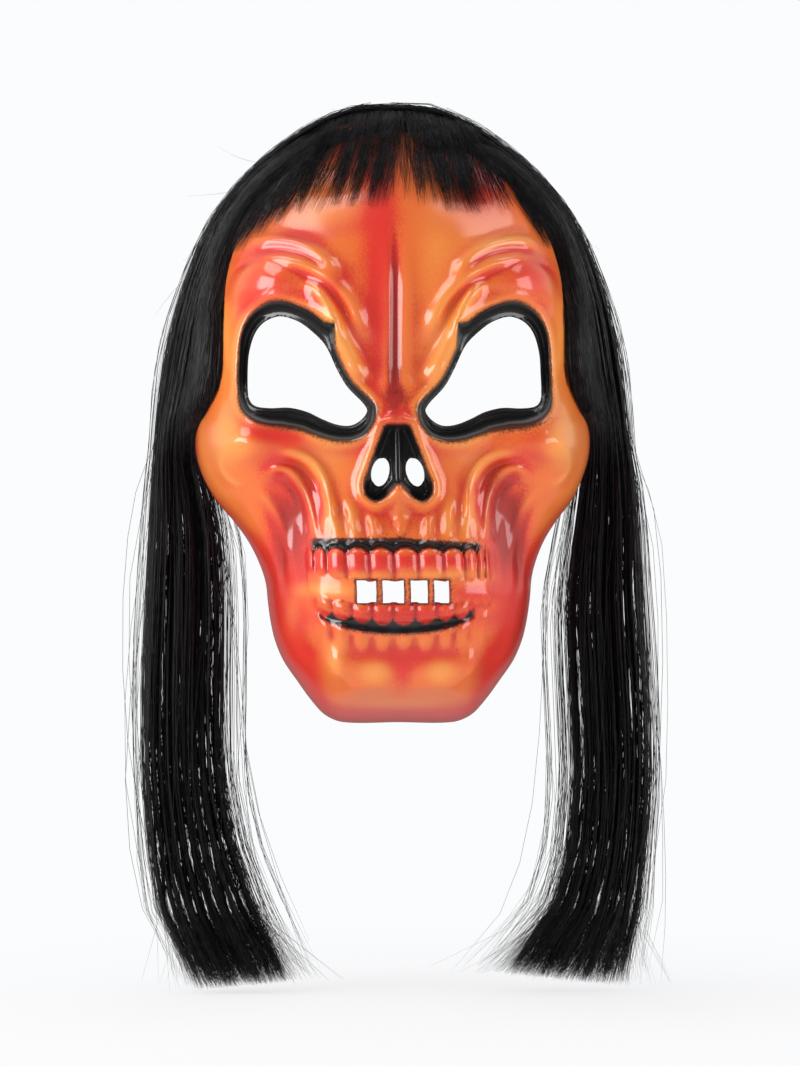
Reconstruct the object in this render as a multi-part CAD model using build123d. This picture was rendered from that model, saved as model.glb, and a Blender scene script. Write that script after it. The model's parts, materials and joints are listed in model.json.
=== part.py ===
from build123d import *

import os
from math import atan2, cos, exp, hypot, pi, radians, sin, sqrt

# A skull-faced Halloween mask: a thin vacuum-formed plastic face with long straight hair on
# a weft along the top of the rim, and an elastic band riveted at the temples.
# Millimetres, +Z up.  The face looks along -Y and its rim lies in the plane y = 0.
# "left" is the -X side, as somebody facing the mask sees it.

# ---- driving dimensions: the face shell -----------------------------------------------
SHEET = 1.0                 # thickness of the formed plastic
GRID_U = 60                 # points across the formed surface
GRID_V = 76                 # points up the formed surface
FIT = 0.05                  # how closely the surface keeps to those points
WALL_RUN = 1.10             # how far the surface is carried past the rim before it is trimmed
BACK = 120.0                # how far behind the rim the formed surface is closed
BACK_SPANS = 24             # points along each side of that closing face
SIDES = [("left", -1), ("right", 1)]
HAIR_GAP = 0.4              # space between the plastic and the hair that lies on it

# The right half of the rim, from the top centre to the bottom centre, as (x, z).
RIM = [
    (0, 130), (24, 127), (45, 117), (60, 100), (70, 78), (77, 52), (80.5, 30), (82, 14), (84, 2),
    (85, -9), (84, -18), (80.5, -27), (75, -36), (68, -44.5), (62.5, -53), (58.5, -61.5), (56, -70),
    (55, -79), (53.5, -87.5), (51, -96), (46.5, -104.5), (40.5, -113), (34.5, -121.5), (28.5, -127),
    (21, -129.8), (0, -130),
]
# Depth of the face in front of the rim at each height, and how square its section is there.
DEPTH = [
    (-130, 74), (-118, 80), (-104, 84), (-92, 86), (-75, 88), (-60, 87), (-40, 84), (-20, 80),
    (0, 76), (20, 74), (45, 75), (70, 76), (95, 74), (115, 68), (130, 60),
]
SQUARENESS = [(-130, 9.0), (-100, 6.0), (-60, 4.2), (-30, 3.2), (0, 2.9), (40, 2.6), (130, 2.3)]

# Broad forms: (centre |x|, z), (half sizes along and across), turn in degrees, height.
FORMS = [
    ((40, 55), (30, 17), 12, 5.0),      # brow
    ((53, 52), (13, 9), 8, 4.5),        # outer bulb of the brow
    ((30, 84), (22, 12), -12, -5.0),    # hollow above the brow
    ((77, 24), (8, 22), 0, -7.0),       # pinched temple
    ((66, -9), (15, 15), 0, 12.0),      # cheekbone
    ((48, -14), (26, 6), -4, 4.0),      # ridge below the eye
    ((46, -58), (11, 30), 6, -9.0),     # hollow cheek
    ((20, -108), (12, 12), 0, 3.0),     # boss of the chin
]
# Ridges that fan out of the bridge of the nose over the brow: path of (|x|, z), and height.
BROW_RIDGES = [
    ([(13.5, 32), (18.6, 45.5), (24.5, 55), (33, 63.2), (44, 68.4), (56, 69), (66, 64)], 2.4),
    ([(15.5, 10), (20, 19.5), (24.6, 31), (28.6, 42), (34, 51)], 3.2),
]
RIDGE_WIDTH = 3.4

# The eye hole on the +X side, and the moulded black well around it.
EYE = [
    (11.5, 1.1), (19.5, 10.4), (23.5, 17.4), (28.3, 27.4), (34, 33.4), (40, 37.7), (47.4, 39.9),
    (54.1, 38), (58.1, 33.6), (60.6, 25.9), (61.2, 18.1), (60.8, 8.5), (58.2, 3.1), (52, 1.7),
    (43.5, 1.8), (36, 0), (30.1, -2.9), (23.6, -5.4), (18, -5.7), (13.3, -2.9),
]
WELL_WIDTH = 5.0
WELL_DEPTH = 6.0

# The nose cavity, right half from the top centre to the bottom centre, and the nostril holes.
NOSE = [
    (0, -6.2), (4.2, -6.4), (6.2, -10), (9.5, -17.5), (12.5, -25), (14.2, -31), (14, -35.5),
    (11.5, -38.3), (7.5, -37), (3.2, -33.5), (0, -31.5),
]
NOSE_DEPTH = 5.0
NOSTRIL_AT = (7.1, -25.0)
NOSTRIL_SIZE = (3.6, 6.0)   # half width and half height
NOSTRIL_TILT = 14.0

# Windows cut between the teeth, as (left x, right x); they share one height.
WINDOWS = [(-19.6, -11.7), (-8.9, -0.3), (2.4, 9.2), (12.0, 18.3)]
WINDOW_Z = (-78.3, -69.0)

# ---- driving dimensions: strap and rivets ---------------------------------------------
STRAP_Y = -10.0             # the band is centred this far in front of the rim plane
STRAP_Z = 18.5              # height of the rivets
STRAP_WIDTH = 8.0           # width of the flat elastic
STRAP_THICK = 1.0
STRAP_DROP = 105.0          # how far the slack band hangs below the rivets
STRAP_SAG = [(0.92, 0.32), (0.67, 0.70)]   # shares of the half width and of the drop along it
STRAP_SPANS = 30            # points along the sag
STRAP_TAB = 7.0             # straight band above and below the rivet centre
BOSS_RADIUS = 5.5           # moulded flat around each strap hole
BOSS_INNER = 78.4           # |x| of the inside and outside faces of that flat
BOSS_OUTER = 81.6
RIVET_RADIUS = 1.6
RIVET_BORE = 0.8
RIVET_HEAD = (3.4, 0.9)     # radius and thickness
RUNNING_GAP = 0.1           # side play of the band on the rivet
HOLE_GAP = 0.05             # radial play of the band's hole on the rivet

# ---- driving dimensions: hair ----------------------------------------------------------
# Outer and inner edge of the static hair on each side, as (|x|, z), from the parting down.
CROWN_OUTER = [(0.3, 133.4), (18, 132.8), (34, 128), (48, 119.5), (62, 109), (73.5, 97), (82, 82),
               (89, 66), (94.5, 50), (99, 30), (102.5, 8), (105.4, -12), (106.2, -20)]
CROWN_INNER = [(0.3, 121), (16, 120.5), (30, 113), (44, 104), (58, 92), (67, 79), (73, 62), (76, 44),
               (77, 20), (80, 2), (82.5, -12), (82.5, -20)]
# The static hair seen from the side, as (y, z).
CROWN_SIDE = [(-24, 135), (-24, 117), (-17, 90), (-13, 50), (-8, 10), (1.4, -20), (20.6, -20),
              (19, 30), (14, 90), (8, 135)]
FALL_Y = 11.0               # the falls hang centred behind the rim
FALL_Z = -31.0              # height of the line they swing about
FALL_RADIUS = 9.6           # rounded top of the falls, about that line
LOCK_GAP = 0.7              # between neighbouring locks
# Each section of a fall: z, inner |x|, outer |x|, depth in y.
FALL_SECTIONS = [
    (-20, 82.5, 106.2, 19.2), (-45, 81.5, 109.0, 19.2), (-80, 78.0, 112.0, 19), (-125, 75.0, 113.4, 18),
    (-165, 69.0, 110.0, 17), (-205, 60.0, 104.0, 15), (-240, 47.0, 94.0, 12),
]
LOCK_PLACES = ["inner", "middle", "outer"]
LOCK_TIPS = [-243.0, -246.0, -240.0]

# Fringe locks on the forehead: name, root (x, z), half width there, tip (x, z), half width there.
FRINGE = [
    ("fringe_left_outer", (-25, 118), 4.2, (-33, 91), 2.4),
    ("fringe_left_inner", (-14, 120), 6.0, (-23, 87), 3.0),
    ("fringe_centre", (-1, 120), 4.0, (4, 88), 2.0),
    ("fringe_right_inner", (12, 120), 5.4, (17, 88), 3.0),
    ("fringe_right_outer", (24, 118), 4.6, (30, 90), 2.6),
]
FRINGE_THICK = 2.0
FRINGE_GAP = 0.9            # space between the plastic and the middle of a lock
FRINGE_STEPS = 5            # sections along a lock
FRINGE_PIVOT = (-14.0, 130.2)   # y and z of the line the fringe lifts about
WEFT_HALF = 30.0            # half length of the sewn hair weft
WEFT_THICK = 1.6
WEFT_WIDTH = 10.0
WEFT_Y = -8.5               # the tape is centred this far in front of the rim plane
WEFT_GAP = 0.6              # play between the flat tape and the curved plastic
STAPLE_GAP = 0.1            # play between the tape and the staple bars
STAPLES_X = [-21.0, -7.0, 7.0, 21.0]
STAPLE_WIRE = 0.35          # radius of the staple wire
STAPLE_SPAN = 8.0


def step(low, high, value):
    """Smooth step from 0 at low to 1 at high."""
    t = min(max((value - low) / (high - low), 0.0), 1.0)
    return t * t * (3 - 2 * t)


def table(rows, at):
    """Straight interpolation in a list of (place, value)."""
    if at <= rows[0][0]:
        return rows[0][1]
    for (a, va), (b, vb) in zip(rows, rows[1:]):
        if at <= b:
            return va + (vb - va) * (at - a) / (b - a)
    return rows[-1][1]


def both_sides(half):
    """Closed outline from its right half, which starts and ends on the centre line."""
    return half + [(-x, z) for x, z in reversed(half) if abs(x) > 1e-6]


def rounded(points, per_span, closed):
    """Points along a smooth curve through the given points."""
    count = len(points)
    ends = [points[0]] + points + [points[-1]]
    result = []
    for i in range(count if closed else count - 1):
        if closed:
            a, b, c, d = (points[(i + k) % count] for k in (-1, 0, 1, 2))
        else:
            a, b, c, d = ends[i:i + 4]
        chord = hypot(c[0] - b[0], c[1] - b[1])
        before = hypot(b[0] - a[0], b[1] - a[1]) + chord
        after = hypot(d[0] - c[0], d[1] - c[1]) + chord
        for k in range(per_span):
            t = k / per_span
            weights = (2*t**3 - 3*t**2 + 1, t**3 - 2*t**2 + t, 3*t**2 - 2*t**3, t**3 - t**2)
            row = []
            for axis in (0, 1):
                leave = (c[axis] - a[axis]) * chord / before
                arrive = (d[axis] - b[axis]) * chord / after
                values = (b[axis], leave, c[axis], arrive)
                row.append(sum(w * v for w, v in zip(weights, values)))
            result.append(tuple(row))
    if not closed:
        result.append(points[-1])
    return result


def nearest(x, z, path):
    """Distance from a point to a path, and how far along the path that is, from 0 to 1."""
    best, along, run = 1e9, 0.0, 0.0
    for (ax, az), (bx, bz) in zip(path, path[1:]):
        length = hypot(bx - ax, bz - az)
        ux, uz = (bx - ax) / length, (bz - az) / length
        t = min(max((x - ax) * ux + (z - az) * uz, 0.0), length)
        gap = hypot(x - ax - t * ux, z - az - t * uz)
        if gap < best:
            best, along = gap, run + t
        run += length
    return best, along / run


def outside(x, z, loop):
    """Signed distance to a closed outline, negative inside it."""
    gap, _ = nearest(x, z, loop + loop[:1])
    within = False
    for (ax, az), (bx, bz) in zip(loop, loop[1:] + loop[:1]):
        if (az > z) != (bz > z) and x < ax + (bx - ax) * (z - az) / (bz - az):
            within = not within
    return -gap if within else gap


RIM_LOOP = rounded(both_sides(RIM), 8, True)
RIM_POLAR = sorted((atan2(z, x), hypot(x, z)) for x, z in RIM_LOOP)
RIM_POLAR = [(a - 2 * pi, r) for a, r in RIM_POLAR[-2:]] + RIM_POLAR + [(a + 2 * pi, r) for a, r in RIM_POLAR[:2]]
EYE_LOOP = rounded(EYE, 4, True)
NOSE_LOOP = rounded(both_sides(NOSE), 4, True)
RIDGE_PATHS = [(rounded(path, 4, False), height) for path, height in BROW_RIDGES]


def hill(x, z, centre, size, turn):
    """Smooth hill of height 1 on both sides of the face."""
    px, pz = abs(x) - centre[0], z - centre[1]
    c, s = cos(radians(turn)), sin(radians(turn))
    return exp(-((px * c + pz * s) / size[0]) ** 2 - ((pz * c - px * s) / size[1]) ** 2)


def relief(x, z):
    """Height of the modelled forms over the plain curved face."""
    side = abs(x)
    total = sum(height * hill(x, z, centre, size, turn) for centre, size, turn, height in FORMS)
    total += 7.0 * exp(-(side / 40) ** 4) * step(-40, -56, z) * step(-100, -88, z)
    total += 8.0 * exp(-(side / 32) ** 4) * exp(-((z + 107) / 15) ** 2)
    total += 6.0 * exp(-(x / 14) ** 2) * step(-48, -20, z) * step(22, -4, z)
    for path, height in RIDGE_PATHS:
        gap, along = nearest(side, z, path)
        total += height * exp(-(gap / RIDGE_WIDTH) ** 2) * step(0, 0.2, along) * step(0, 0.2, 1 - along)
    total -= WELL_DEPTH * step(WELL_WIDTH, 1.0, outside(side, z, EYE_LOOP))
    total -= NOSE_DEPTH * step(1.5, -2.5, outside(x, z, NOSE_LOOP))
    return total


def face_depth(x, z):
    """How far in front of the rim plane the outer surface is."""
    reach = table(RIM_POLAR, atan2(z, x))
    share = min(hypot(x, z) / reach, 1.0)
    plain = table(DEPTH, z) * sqrt(1 - share ** table(SQUARENESS, z))
    return plain + relief(x, z) * step(0, 0.16, 1 - share)


def face_point(u, v):
    """Point of the outer surface; u and v run over a square that holds the rim's unit circle."""
    radius, angle = hypot(u, v), atan2(v, u)
    reach = table(RIM_POLAR, angle) * sin(min(radius, 1.0) * pi / 2)
    x, z = reach * cos(angle), reach * sin(angle)
    if radius < 1.0:
        return Vector(x, -face_depth(x, z), z)
    return Vector(x, table(DEPTH, z) * sqrt(table(SQUARENESS, z) / 8) * pi * (radius - 1.0), z)


def top_height(x, y):
    """Height of the outer surface over a place near the top of the rim."""
    low, high = 90.0, 129.9
    for _ in range(40):
        middle = (low + high) / 2
        if face_depth(x, middle) > -y:
            low = middle
        else:
            high = middle
    return low


def face_points(offset):
    """Grid of points on the surface, moved outward by the offset along its normal."""
    grid = []
    for i in range(GRID_U):
        u = WALL_RUN * (2 * i / (GRID_U - 1) - 1)
        line = []
        for j in range(GRID_V):
            v = WALL_RUN * (2 * j / (GRID_V - 1) - 1)
            point = face_point(u, v)
            if offset:
                across = face_point(u + 0.01, v) - face_point(u - 0.01, v)
                up = face_point(u, v + 0.01) - face_point(u, v - 0.01)
                point += across.cross(up).normalized() * offset
            line.append(point)
        grid.append(line)
    return grid


def face_block(offset):
    """Solid between the offset surface and a plane well behind the rim."""
    front = Face.make_surface_from_array_of_points(face_points(offset), tol=FIT, min_deg=3, max_deg=5)
    faces = [front]
    far_edges = []
    for edge in front.edges():
        line = [edge.position_at(k / BACK_SPANS) for k in range(BACK_SPANS + 1)]
        far = Edge.make_spline([Vector(p.X, BACK, p.Z) for p in line])
        far_edges.append(far)
        faces.append(Face.make_surface_from_curves(edge, far))
    faces.append(Face(Wire(far_edges)))
    return Solid(Shell(faces))


def through_y(face, front, back):
    """A flat shape drawn in x and z, made a prism between two places in y."""
    return Pos(0, back, 0) * extrude(Plane.XZ * face, back - front)


def smooth_outline(points):
    """Flat face inside a closed smooth outline."""
    return make_face(Spline(*points, periodic=True))


def block(x, y, z):
    """Box between pairs of places along each axis."""
    centre = ((x[0] + x[1]) / 2, (y[0] + y[1]) / 2, (z[0] + z[1]) / 2)
    return Pos(*centre) * Box(x[1] - x[0], y[1] - y[0], z[1] - z[0])


def along_x(radius, start, end, y, z):
    """Cylinder along X between two places."""
    return Pos((start + end) / 2, y, z) * Rot(0, 90, 0) * Cylinder(radius, abs(end - start))


def on_side(shape, side):
    """A shape modelled on the +X side, mirrored when it is wanted on the other one."""
    return shape if side > 0 else mirror(shape, Plane.YZ)


# ---- the pieces ------------------------------------------------------------------------
def staple_places():
    """x of the two legs of each staple."""
    return [(x - STAPLE_SPAN / 2, x + STAPLE_SPAN / 2) for x in STAPLES_X]


def staple_holes():
    """Rods where the staple legs pass through the tape and the plastic."""
    return [Pos(x, WEFT_Y, 122) * Cylinder(STAPLE_WIRE, 30) for pair in staple_places() for x in pair]


def mask_shell():
    """Formed plastic face, open at the eyes, nostrils, tooth windows, strap and staple holes."""
    shell = face_block(0) - face_block(-SHEET)
    shell &= block((-120, 120), (-150, 0), (-160, 160))
    nostril = Pos(*NOSTRIL_AT) * Rot(0, 0, NOSTRIL_TILT) * Ellipse(*NOSTRIL_SIZE)
    for _, side in SIDES:
        shell += on_side(along_x(BOSS_RADIUS, BOSS_INNER, BOSS_OUTER, STRAP_Y, STRAP_Z), side)
        shell -= on_side(along_x(RIVET_RADIUS, 60, 100, STRAP_Y, STRAP_Z), side)
        shell -= on_side(through_y(smooth_outline(EYE), -120, -20), side)
        shell -= on_side(through_y(nostril, -120, -20), side)
    for left, right in WINDOWS:
        shell -= block((left, right), (-120, -40), WINDOW_Z)
    for hole in staple_holes():
        shell -= hole
    return shell


def weft_top(x):
    """Height of the tape's upper face, just under the plastic."""
    return top_height(x, WEFT_Y) - SHEET - WEFT_GAP


def weft_tape():
    """Sewn tape that carries the hair, inside the top of the rim."""
    slope = atan2(top_height(0, WEFT_Y + 2) - top_height(0, WEFT_Y - 2), 4)
    sections = []
    for i in range(-3, 4):
        x = WEFT_HALF * i / 3
        plane = Plane((x, WEFT_Y, weft_top(x) - WEFT_THICK / 2), x_dir=(0, cos(slope), sin(slope)), z_dir=(1, 0, 0))
        sections.append(plane * RectangleRounded(WEFT_WIDTH, WEFT_THICK, 0.4))
    tape = loft(sections)
    for hole in staple_holes():
        tape -= hole
    return tape


def weft_staples():
    """Wire staples through the tape and the plastic, each a crown bar with two legs."""
    staples = []
    for pair in staple_places():
        lows = [Vector(x, WEFT_Y, weft_top(x) - WEFT_THICK - STAPLE_WIRE - STAPLE_GAP) for x in pair]
        span = lows[1] - lows[0]
        staple = Solid.make_cylinder(STAPLE_WIRE, span.length, Plane(lows[0], z_dir=span))
        for low in lows:
            length = top_height(low.X, WEFT_Y) - 0.2 - low.Z
            staple += Pos(*low) * (Pos(0, 0, length / 2) * Cylinder(STAPLE_WIRE, length) + Sphere(STAPLE_WIRE))
        staples.append(staple)
    return Compound(children=staples)


def strap_rivet():
    """Tubular rivet through the strap hole: wide head outside, rolled flange inside."""
    radius, thick = RIVET_HEAD
    inside = BOSS_INNER - 2 * RUNNING_GAP - STRAP_THICK
    rivet = along_x(RIVET_RADIUS, inside - thick, BOSS_OUTER + thick, STRAP_Y, STRAP_Z)
    rivet += along_x(radius, BOSS_OUTER, BOSS_OUTER + thick, STRAP_Y, STRAP_Z)
    rivet += along_x(radius - 0.4, inside - thick, inside, STRAP_Y, STRAP_Z)
    rivet -= along_x(RIVET_BORE, inside - 2 * thick, BOSS_OUTER - thick, STRAP_Y, STRAP_Z)
    return rivet


def elastic_strap():
    """Flat elastic band that hangs slack inside the face, from one rivet to the other."""
    top = BOSS_INNER - RUNNING_GAP - STRAP_THICK / 2
    start = STRAP_Z - STRAP_TAB
    half = [(share * top, STRAP_Z - drop * STRAP_DROP) for share, drop in STRAP_SAG]
    whole = half + [(0, STRAP_Z - STRAP_DROP)] + [(-x, z) for x, z in reversed(half)]
    sag = Spline((top, start), *whole, (-top, start), tangents=[(0, -1), (0, 1)])
    outer_edge, inner_edge = [], []
    for k in range(STRAP_SPANS + 1):
        point, along = sag @ (k / STRAP_SPANS), sag % (k / STRAP_SPANS)
        sideways = Vector(-along.Y, along.X) * (STRAP_THICK / 2)
        outer_edge.append(point + sideways)
        inner_edge.append(point - sideways)
    there, back = Spline(*outer_edge), Spline(*reversed(inner_edge))
    band = make_face([there, Line(there @ 1, back @ 0), back, Line(back @ 1, there @ 0)])
    for side in (-1, 1):
        band += Pos(side * top, STRAP_Z) * Rectangle(STRAP_THICK, 2 * STRAP_TAB)
    strap = through_y(band, STRAP_Y - STRAP_WIDTH / 2, STRAP_Y + STRAP_WIDTH / 2)
    return strap - along_x(RIVET_RADIUS + HOLE_GAP, -100, 100, STRAP_Y, STRAP_Z)


def hair_crown():
    """Static hair of one side, from the parting over the rim and down past the temple."""
    edge = Spline(*CROWN_OUTER)
    under = Spline(*reversed(CROWN_INNER))
    seen = make_face([edge, Line(edge @ 1, under @ 0), under, Line(under @ 1, edge @ 0)])
    profile = Plane.YZ * make_face(Polyline(*CROWN_SIDE, close=True))
    hair = through_y(seen, -60, 60) & extrude(profile, 150)
    hair -= face_block(HAIR_GAP)
    hair -= along_x(RIVET_HEAD[0] + 1.2, 60, BOSS_OUTER + 2.0, STRAP_Y, STRAP_Z)
    return hair


def fall_lock(number):
    """One hanging lock of the +X side, counted from the face outward."""
    sections = []
    tip = LOCK_TIPS[number]
    for z, near, far, depth in FALL_SECTIONS:
        width = (far - near - (len(LOCK_TIPS) - 1) * LOCK_GAP) / len(LOCK_TIPS)
        centre = near + width / 2 + number * (width + LOCK_GAP)
        level = max(z, tip) if z == FALL_SECTIONS[-1][0] else z
        corner = 0.3 * min(width, depth)
        section = RectangleRounded(width, depth, corner)
        sections.append(Pos(centre, FALL_Y, level) * section)
    lock = loft(sections)
    lock &= along_x(FALL_RADIUS, 60, 130, FALL_Y, FALL_Z) + block((20, 130), (-20, 40), (-300, FALL_Z))
    return lock


def fringe_lock(root, root_half, tip, tip_half):
    """Thin lock that lies on the forehead and tapers towards its tip."""
    places = []
    for i in range(FRINGE_STEPS + 1):
        t = i / FRINGE_STEPS
        x, z = root[0] + (tip[0] - root[0]) * t, root[1] + (tip[1] - root[1]) * t
        half = root_half + (tip_half - root_half) * t
        across = Vector(2 * half, face_depth(x - half, z) - face_depth(x + half, z), 0).normalized()
        places.append((Vector(x, -face_depth(x, z), z), half, across))
    sections = []
    for i, (point, half, across) in enumerate(places):
        before, after = places[max(i - 1, 0)][0], places[min(i + 1, FRINGE_STEPS)][0]
        down = (after - before).normalized()
        outward = across.cross(down).normalized() * -1
        if outward.Y > 0:
            outward *= -1
        centre = point + outward * (FRINGE_GAP + FRINGE_THICK / 2)
        section = RectangleRounded(2 * half, FRINGE_THICK, 0.6)
        sections.append(Plane(centre, x_dir=across, z_dir=down) * section)
    return loft(sections)


# ---- build and write -------------------------------------------------------------------
os.makedirs("parts", exist_ok=True)
pieces = {
    "mask_shell": mask_shell(),
    "weft_tape": weft_tape(),
    "weft_staples": weft_staples(),
    "elastic_strap": elastic_strap(),
}
crown = hair_crown()
for side_name, side in SIDES:
    pieces["strap_rivet_" + side_name] = on_side(strap_rivet(), side)
    pieces["hair_crown_" + side_name] = on_side(crown, side)
    for number, place in enumerate(LOCK_PLACES):
        pieces["hair_fall_" + side_name + "_" + place] = on_side(fall_lock(number), side)
for name, *shape in FRINGE:
    pieces[name] = fringe_lock(*shape)

for name, shape in pieces.items():
    export_step(shape, "parts/" + name + ".step")
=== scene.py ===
import json
import math

import bmesh
import bpy
import numpy as np
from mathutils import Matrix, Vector

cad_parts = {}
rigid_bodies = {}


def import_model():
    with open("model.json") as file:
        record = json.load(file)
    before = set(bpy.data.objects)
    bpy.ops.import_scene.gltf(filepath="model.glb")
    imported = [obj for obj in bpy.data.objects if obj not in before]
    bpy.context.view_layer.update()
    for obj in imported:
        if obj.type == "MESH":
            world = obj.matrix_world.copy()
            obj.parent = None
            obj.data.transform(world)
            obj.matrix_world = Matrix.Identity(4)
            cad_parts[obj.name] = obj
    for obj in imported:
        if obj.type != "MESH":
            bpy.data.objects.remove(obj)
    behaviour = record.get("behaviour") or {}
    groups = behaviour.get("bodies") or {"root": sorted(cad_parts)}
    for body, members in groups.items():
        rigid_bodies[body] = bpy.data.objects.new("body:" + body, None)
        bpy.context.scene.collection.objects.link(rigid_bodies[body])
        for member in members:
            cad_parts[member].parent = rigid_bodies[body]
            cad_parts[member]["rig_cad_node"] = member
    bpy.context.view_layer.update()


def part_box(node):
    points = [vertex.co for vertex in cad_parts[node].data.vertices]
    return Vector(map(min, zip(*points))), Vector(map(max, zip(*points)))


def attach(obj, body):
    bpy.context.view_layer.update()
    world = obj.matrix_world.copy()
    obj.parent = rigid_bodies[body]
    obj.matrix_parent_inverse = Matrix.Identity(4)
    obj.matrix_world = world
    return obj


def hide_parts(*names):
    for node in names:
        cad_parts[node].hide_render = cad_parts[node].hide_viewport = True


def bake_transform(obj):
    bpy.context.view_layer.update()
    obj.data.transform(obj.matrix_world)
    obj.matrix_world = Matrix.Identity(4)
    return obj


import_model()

bl_info = {
    "name": "Skull Mask with Long Hair",
    "version": (1, 0, 0),
    "blender": (4, 5, 0),
    "location": "3D View > Sidebar > Mask",
    "description": "Builds the painted face, the hair, the band and the studio around a packed mask",
    "category": "Add Mesh",
}

MM = 0.001


# ======================================================================================
# Settings that a user may change
# ======================================================================================
class FaceSettings(bpy.types.PropertyGroup):
    """Sizes and colours of the formed and painted face."""

    sheet: bpy.props.FloatProperty(
        name="Sheet", description="Thickness of the formed plastic", default=0.001, unit="LENGTH")
    columns: bpy.props.IntProperty(
        name="Columns", description="Grid squares across the face before refining", default=118)
    rows: bpy.props.IntProperty(
        name="Rows", description="Grid squares up the face before refining", default=186)
    orange: bpy.props.FloatVectorProperty(
        name="Orange", description="Ground colour of the paint", subtype="COLOR", size=3,
        default=(0.85, 0.165, 0.030))
    # Amber paint on the raised edges, also laid on there as a painted highlight.
    amber_and_highlight: bpy.props.FloatVectorProperty(
        name="Amber", description="Paint on the raised edges", subtype="COLOR", size=3,
        default=(0.93, 0.31, 0.060))
    red: bpy.props.FloatVectorProperty(
        name="Red", description="Red airbrushed zones", subtype="COLOR", size=3,
        default=(0.76, 0.034, 0.020))
    # Deep red is airbrush in the hollows, and also painted shade there and on the side walls under the hair.
    deep: bpy.props.FloatVectorProperty(
        name="Deep red", description="Dark red in the hollows", subtype="COLOR", size=3,
        default=(0.42, 0.024, 0.016))
    # Black is also the painted shade at the window edges and on the side walls under the hair.
    black: bpy.props.FloatVectorProperty(
        name="Black", description="Paint round the eyes, nose and gums", subtype="COLOR", size=3,
        default=(0.010, 0.009, 0.010))
    inside: bpy.props.FloatVectorProperty(
        name="Inside", description="Bare plastic at the back of the face", subtype="COLOR", size=3,
        default=(0.62, 0.50, 0.42))


class HairSettings(bpy.types.PropertyGroup):
    """How much hair there is, and how fine."""

    strands: bpy.props.IntProperty(
        name="Strands", description="Strands in each third of a curtain", default=1720)
    radius: bpy.props.FloatProperty(
        name="Radius", description="Radius of one strand", default=0.00010, unit="LENGTH")
    seed: bpy.props.IntProperty(
        name="Seed", description="Start of the random draws", default=7)
    colour: bpy.props.FloatVectorProperty(
        name="Colour", description="Colour of the fibre", subtype="COLOR", size=3,
        default=(0.0065, 0.0065, 0.0075))


class StageSettings(bpy.types.PropertyGroup):
    """Camera, lamps and background."""

    distance: bpy.props.FloatProperty(
        name="Distance", description="Camera to rim plane", default=1.6, unit="LENGTH")
    azimuth: bpy.props.FloatProperty(
        name="Azimuth", description="Turn of the camera about the mask", default=math.radians(-1.6),
        subtype="ANGLE")
    lens: bpy.props.FloatProperty(name="Lens", description="Focal length in mm", default=125.7)
    left: bpy.props.FloatProperty(
        name="Left lamp", description="Power of the soft box at the left", default=24.0, unit="POWER")
    right: bpy.props.FloatProperty(
        name="Right lamp", description="Power of the soft box at the right", default=12.0, unit="POWER")
    top: bpy.props.FloatProperty(
        name="Top lamp", description="Power of the larger soft box overhead", default=5.0, unit="POWER")
    bounce: bpy.props.FloatProperty(
        name="Bounce", description="Light that the floor throws up, compared with white", default=1.35)
    room: bpy.props.FloatProperty(
        name="Room", description="Strength of the light from all round", default=0.58)


# ======================================================================================
# The form of the face, in millimetres.  x to the right, z up; depth is counted forward.
# ======================================================================================
RIM = [
    (0, 130), (24, 127), (45, 117), (60, 100), (70, 78), (77, 52), (80.5, 30), (82, 14), (84, 2),
    (85, -9), (84, -18), (81, -27), (76.2, -36), (69.4, -44.5), (63.6, -53), (59.6, -61.5), (57, -70),
    (56, -79), (54.8, -87.5), (52.8, -96), (49.2, -104.5), (43.4, -113), (37.2, -121.5), (31, -128),
    (23, -131), (0, -131),
]
EYE = [
    (12.1, 1.1), (20.1, 10.4), (24.1, 17.4), (28.9, 27.4), (34.6, 33.4), (40.6, 37.7), (48, 39.9),
    (54.7, 38), (58.7, 33.6), (61.2, 25.9), (61.8, 18.1), (61.4, 8.5), (58.8, 3.1), (52.6, 1.7),
    (44.1, 1.8), (36.6, 0), (30.7, -2.9), (24.2, -5.4), (18.6, -5.7), (13.9, -2.9),
]
NOSE = [
    (0, -6.2), (4.4, -6.4), (6.2, -10), (9.2, -17.5), (11.9, -25), (13.6, -30), (13.0, -34.2),
    (10.0, -36.6), (6.4, -35.4), (3.0, -31.8), (0, -29.4),
]
# Sideways lean of the face at each height.
LEAN = [(-131, 2.1), (-74, 2.4), (-50, 1.2), (-25, 0.0), (17, -0.5), (60, -0.3), (130, 0)]
DEPTH = [
    (-130, 74), (-118, 80), (-104, 84), (-92, 86), (-75, 88), (-60, 87), (-40, 84), (-20, 80),
    (0, 76), (20, 74), (45, 75), (70, 76), (95, 74), (115, 68), (130, 60),
]
SQUARENESS = [(-130, 9.0), (-100, 6.0), (-60, 4.2), (-30, 3.2), (0, 2.9), (40, 2.6), (130, 2.3)]
NOSTRIL = ((7.1, -25.0), (3.6, 6.0), 14.0)
WINDOWS = [(-19.4, -11.4), (-8.7, -0.1), (2.7, 9.5), (12.2, 18.4)]
WINDOW_Z = (-78.3, -69.1)

# Broad hills and hollows: centre (|x|, z), half sizes, turn in degrees, height.
FORMS = [
    ((42, 56), (30, 16), 12, 3.5),
    ((30, 88), (24, 12), -12, -4.5),
    ((77, 24), (8, 22), 0, -7.0),
    ((66, -9), (15, 15), 0, 12.0),
    ((48, -14), (26, 6), -4, 4.0),
    ((46, -58), (11, 30), 6, -10.0),
    ((28, -103), (8, 11), 0, 2.5),
    ((13.5, -107), (8.5, 7.5), 0, 2.0),
    ((42, -100), (7, 16), -20, -3.5),
    ((0, -2), (5, 4), 0, 1.5),
]
# Round bosses with a crisp foot: centre (|x|, z), half sizes, height.
BOSSES = [((56, 54.4), (13.5, 8.8), 7.5), ((64.5, -13), (11, 8), 1.6)]
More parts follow.
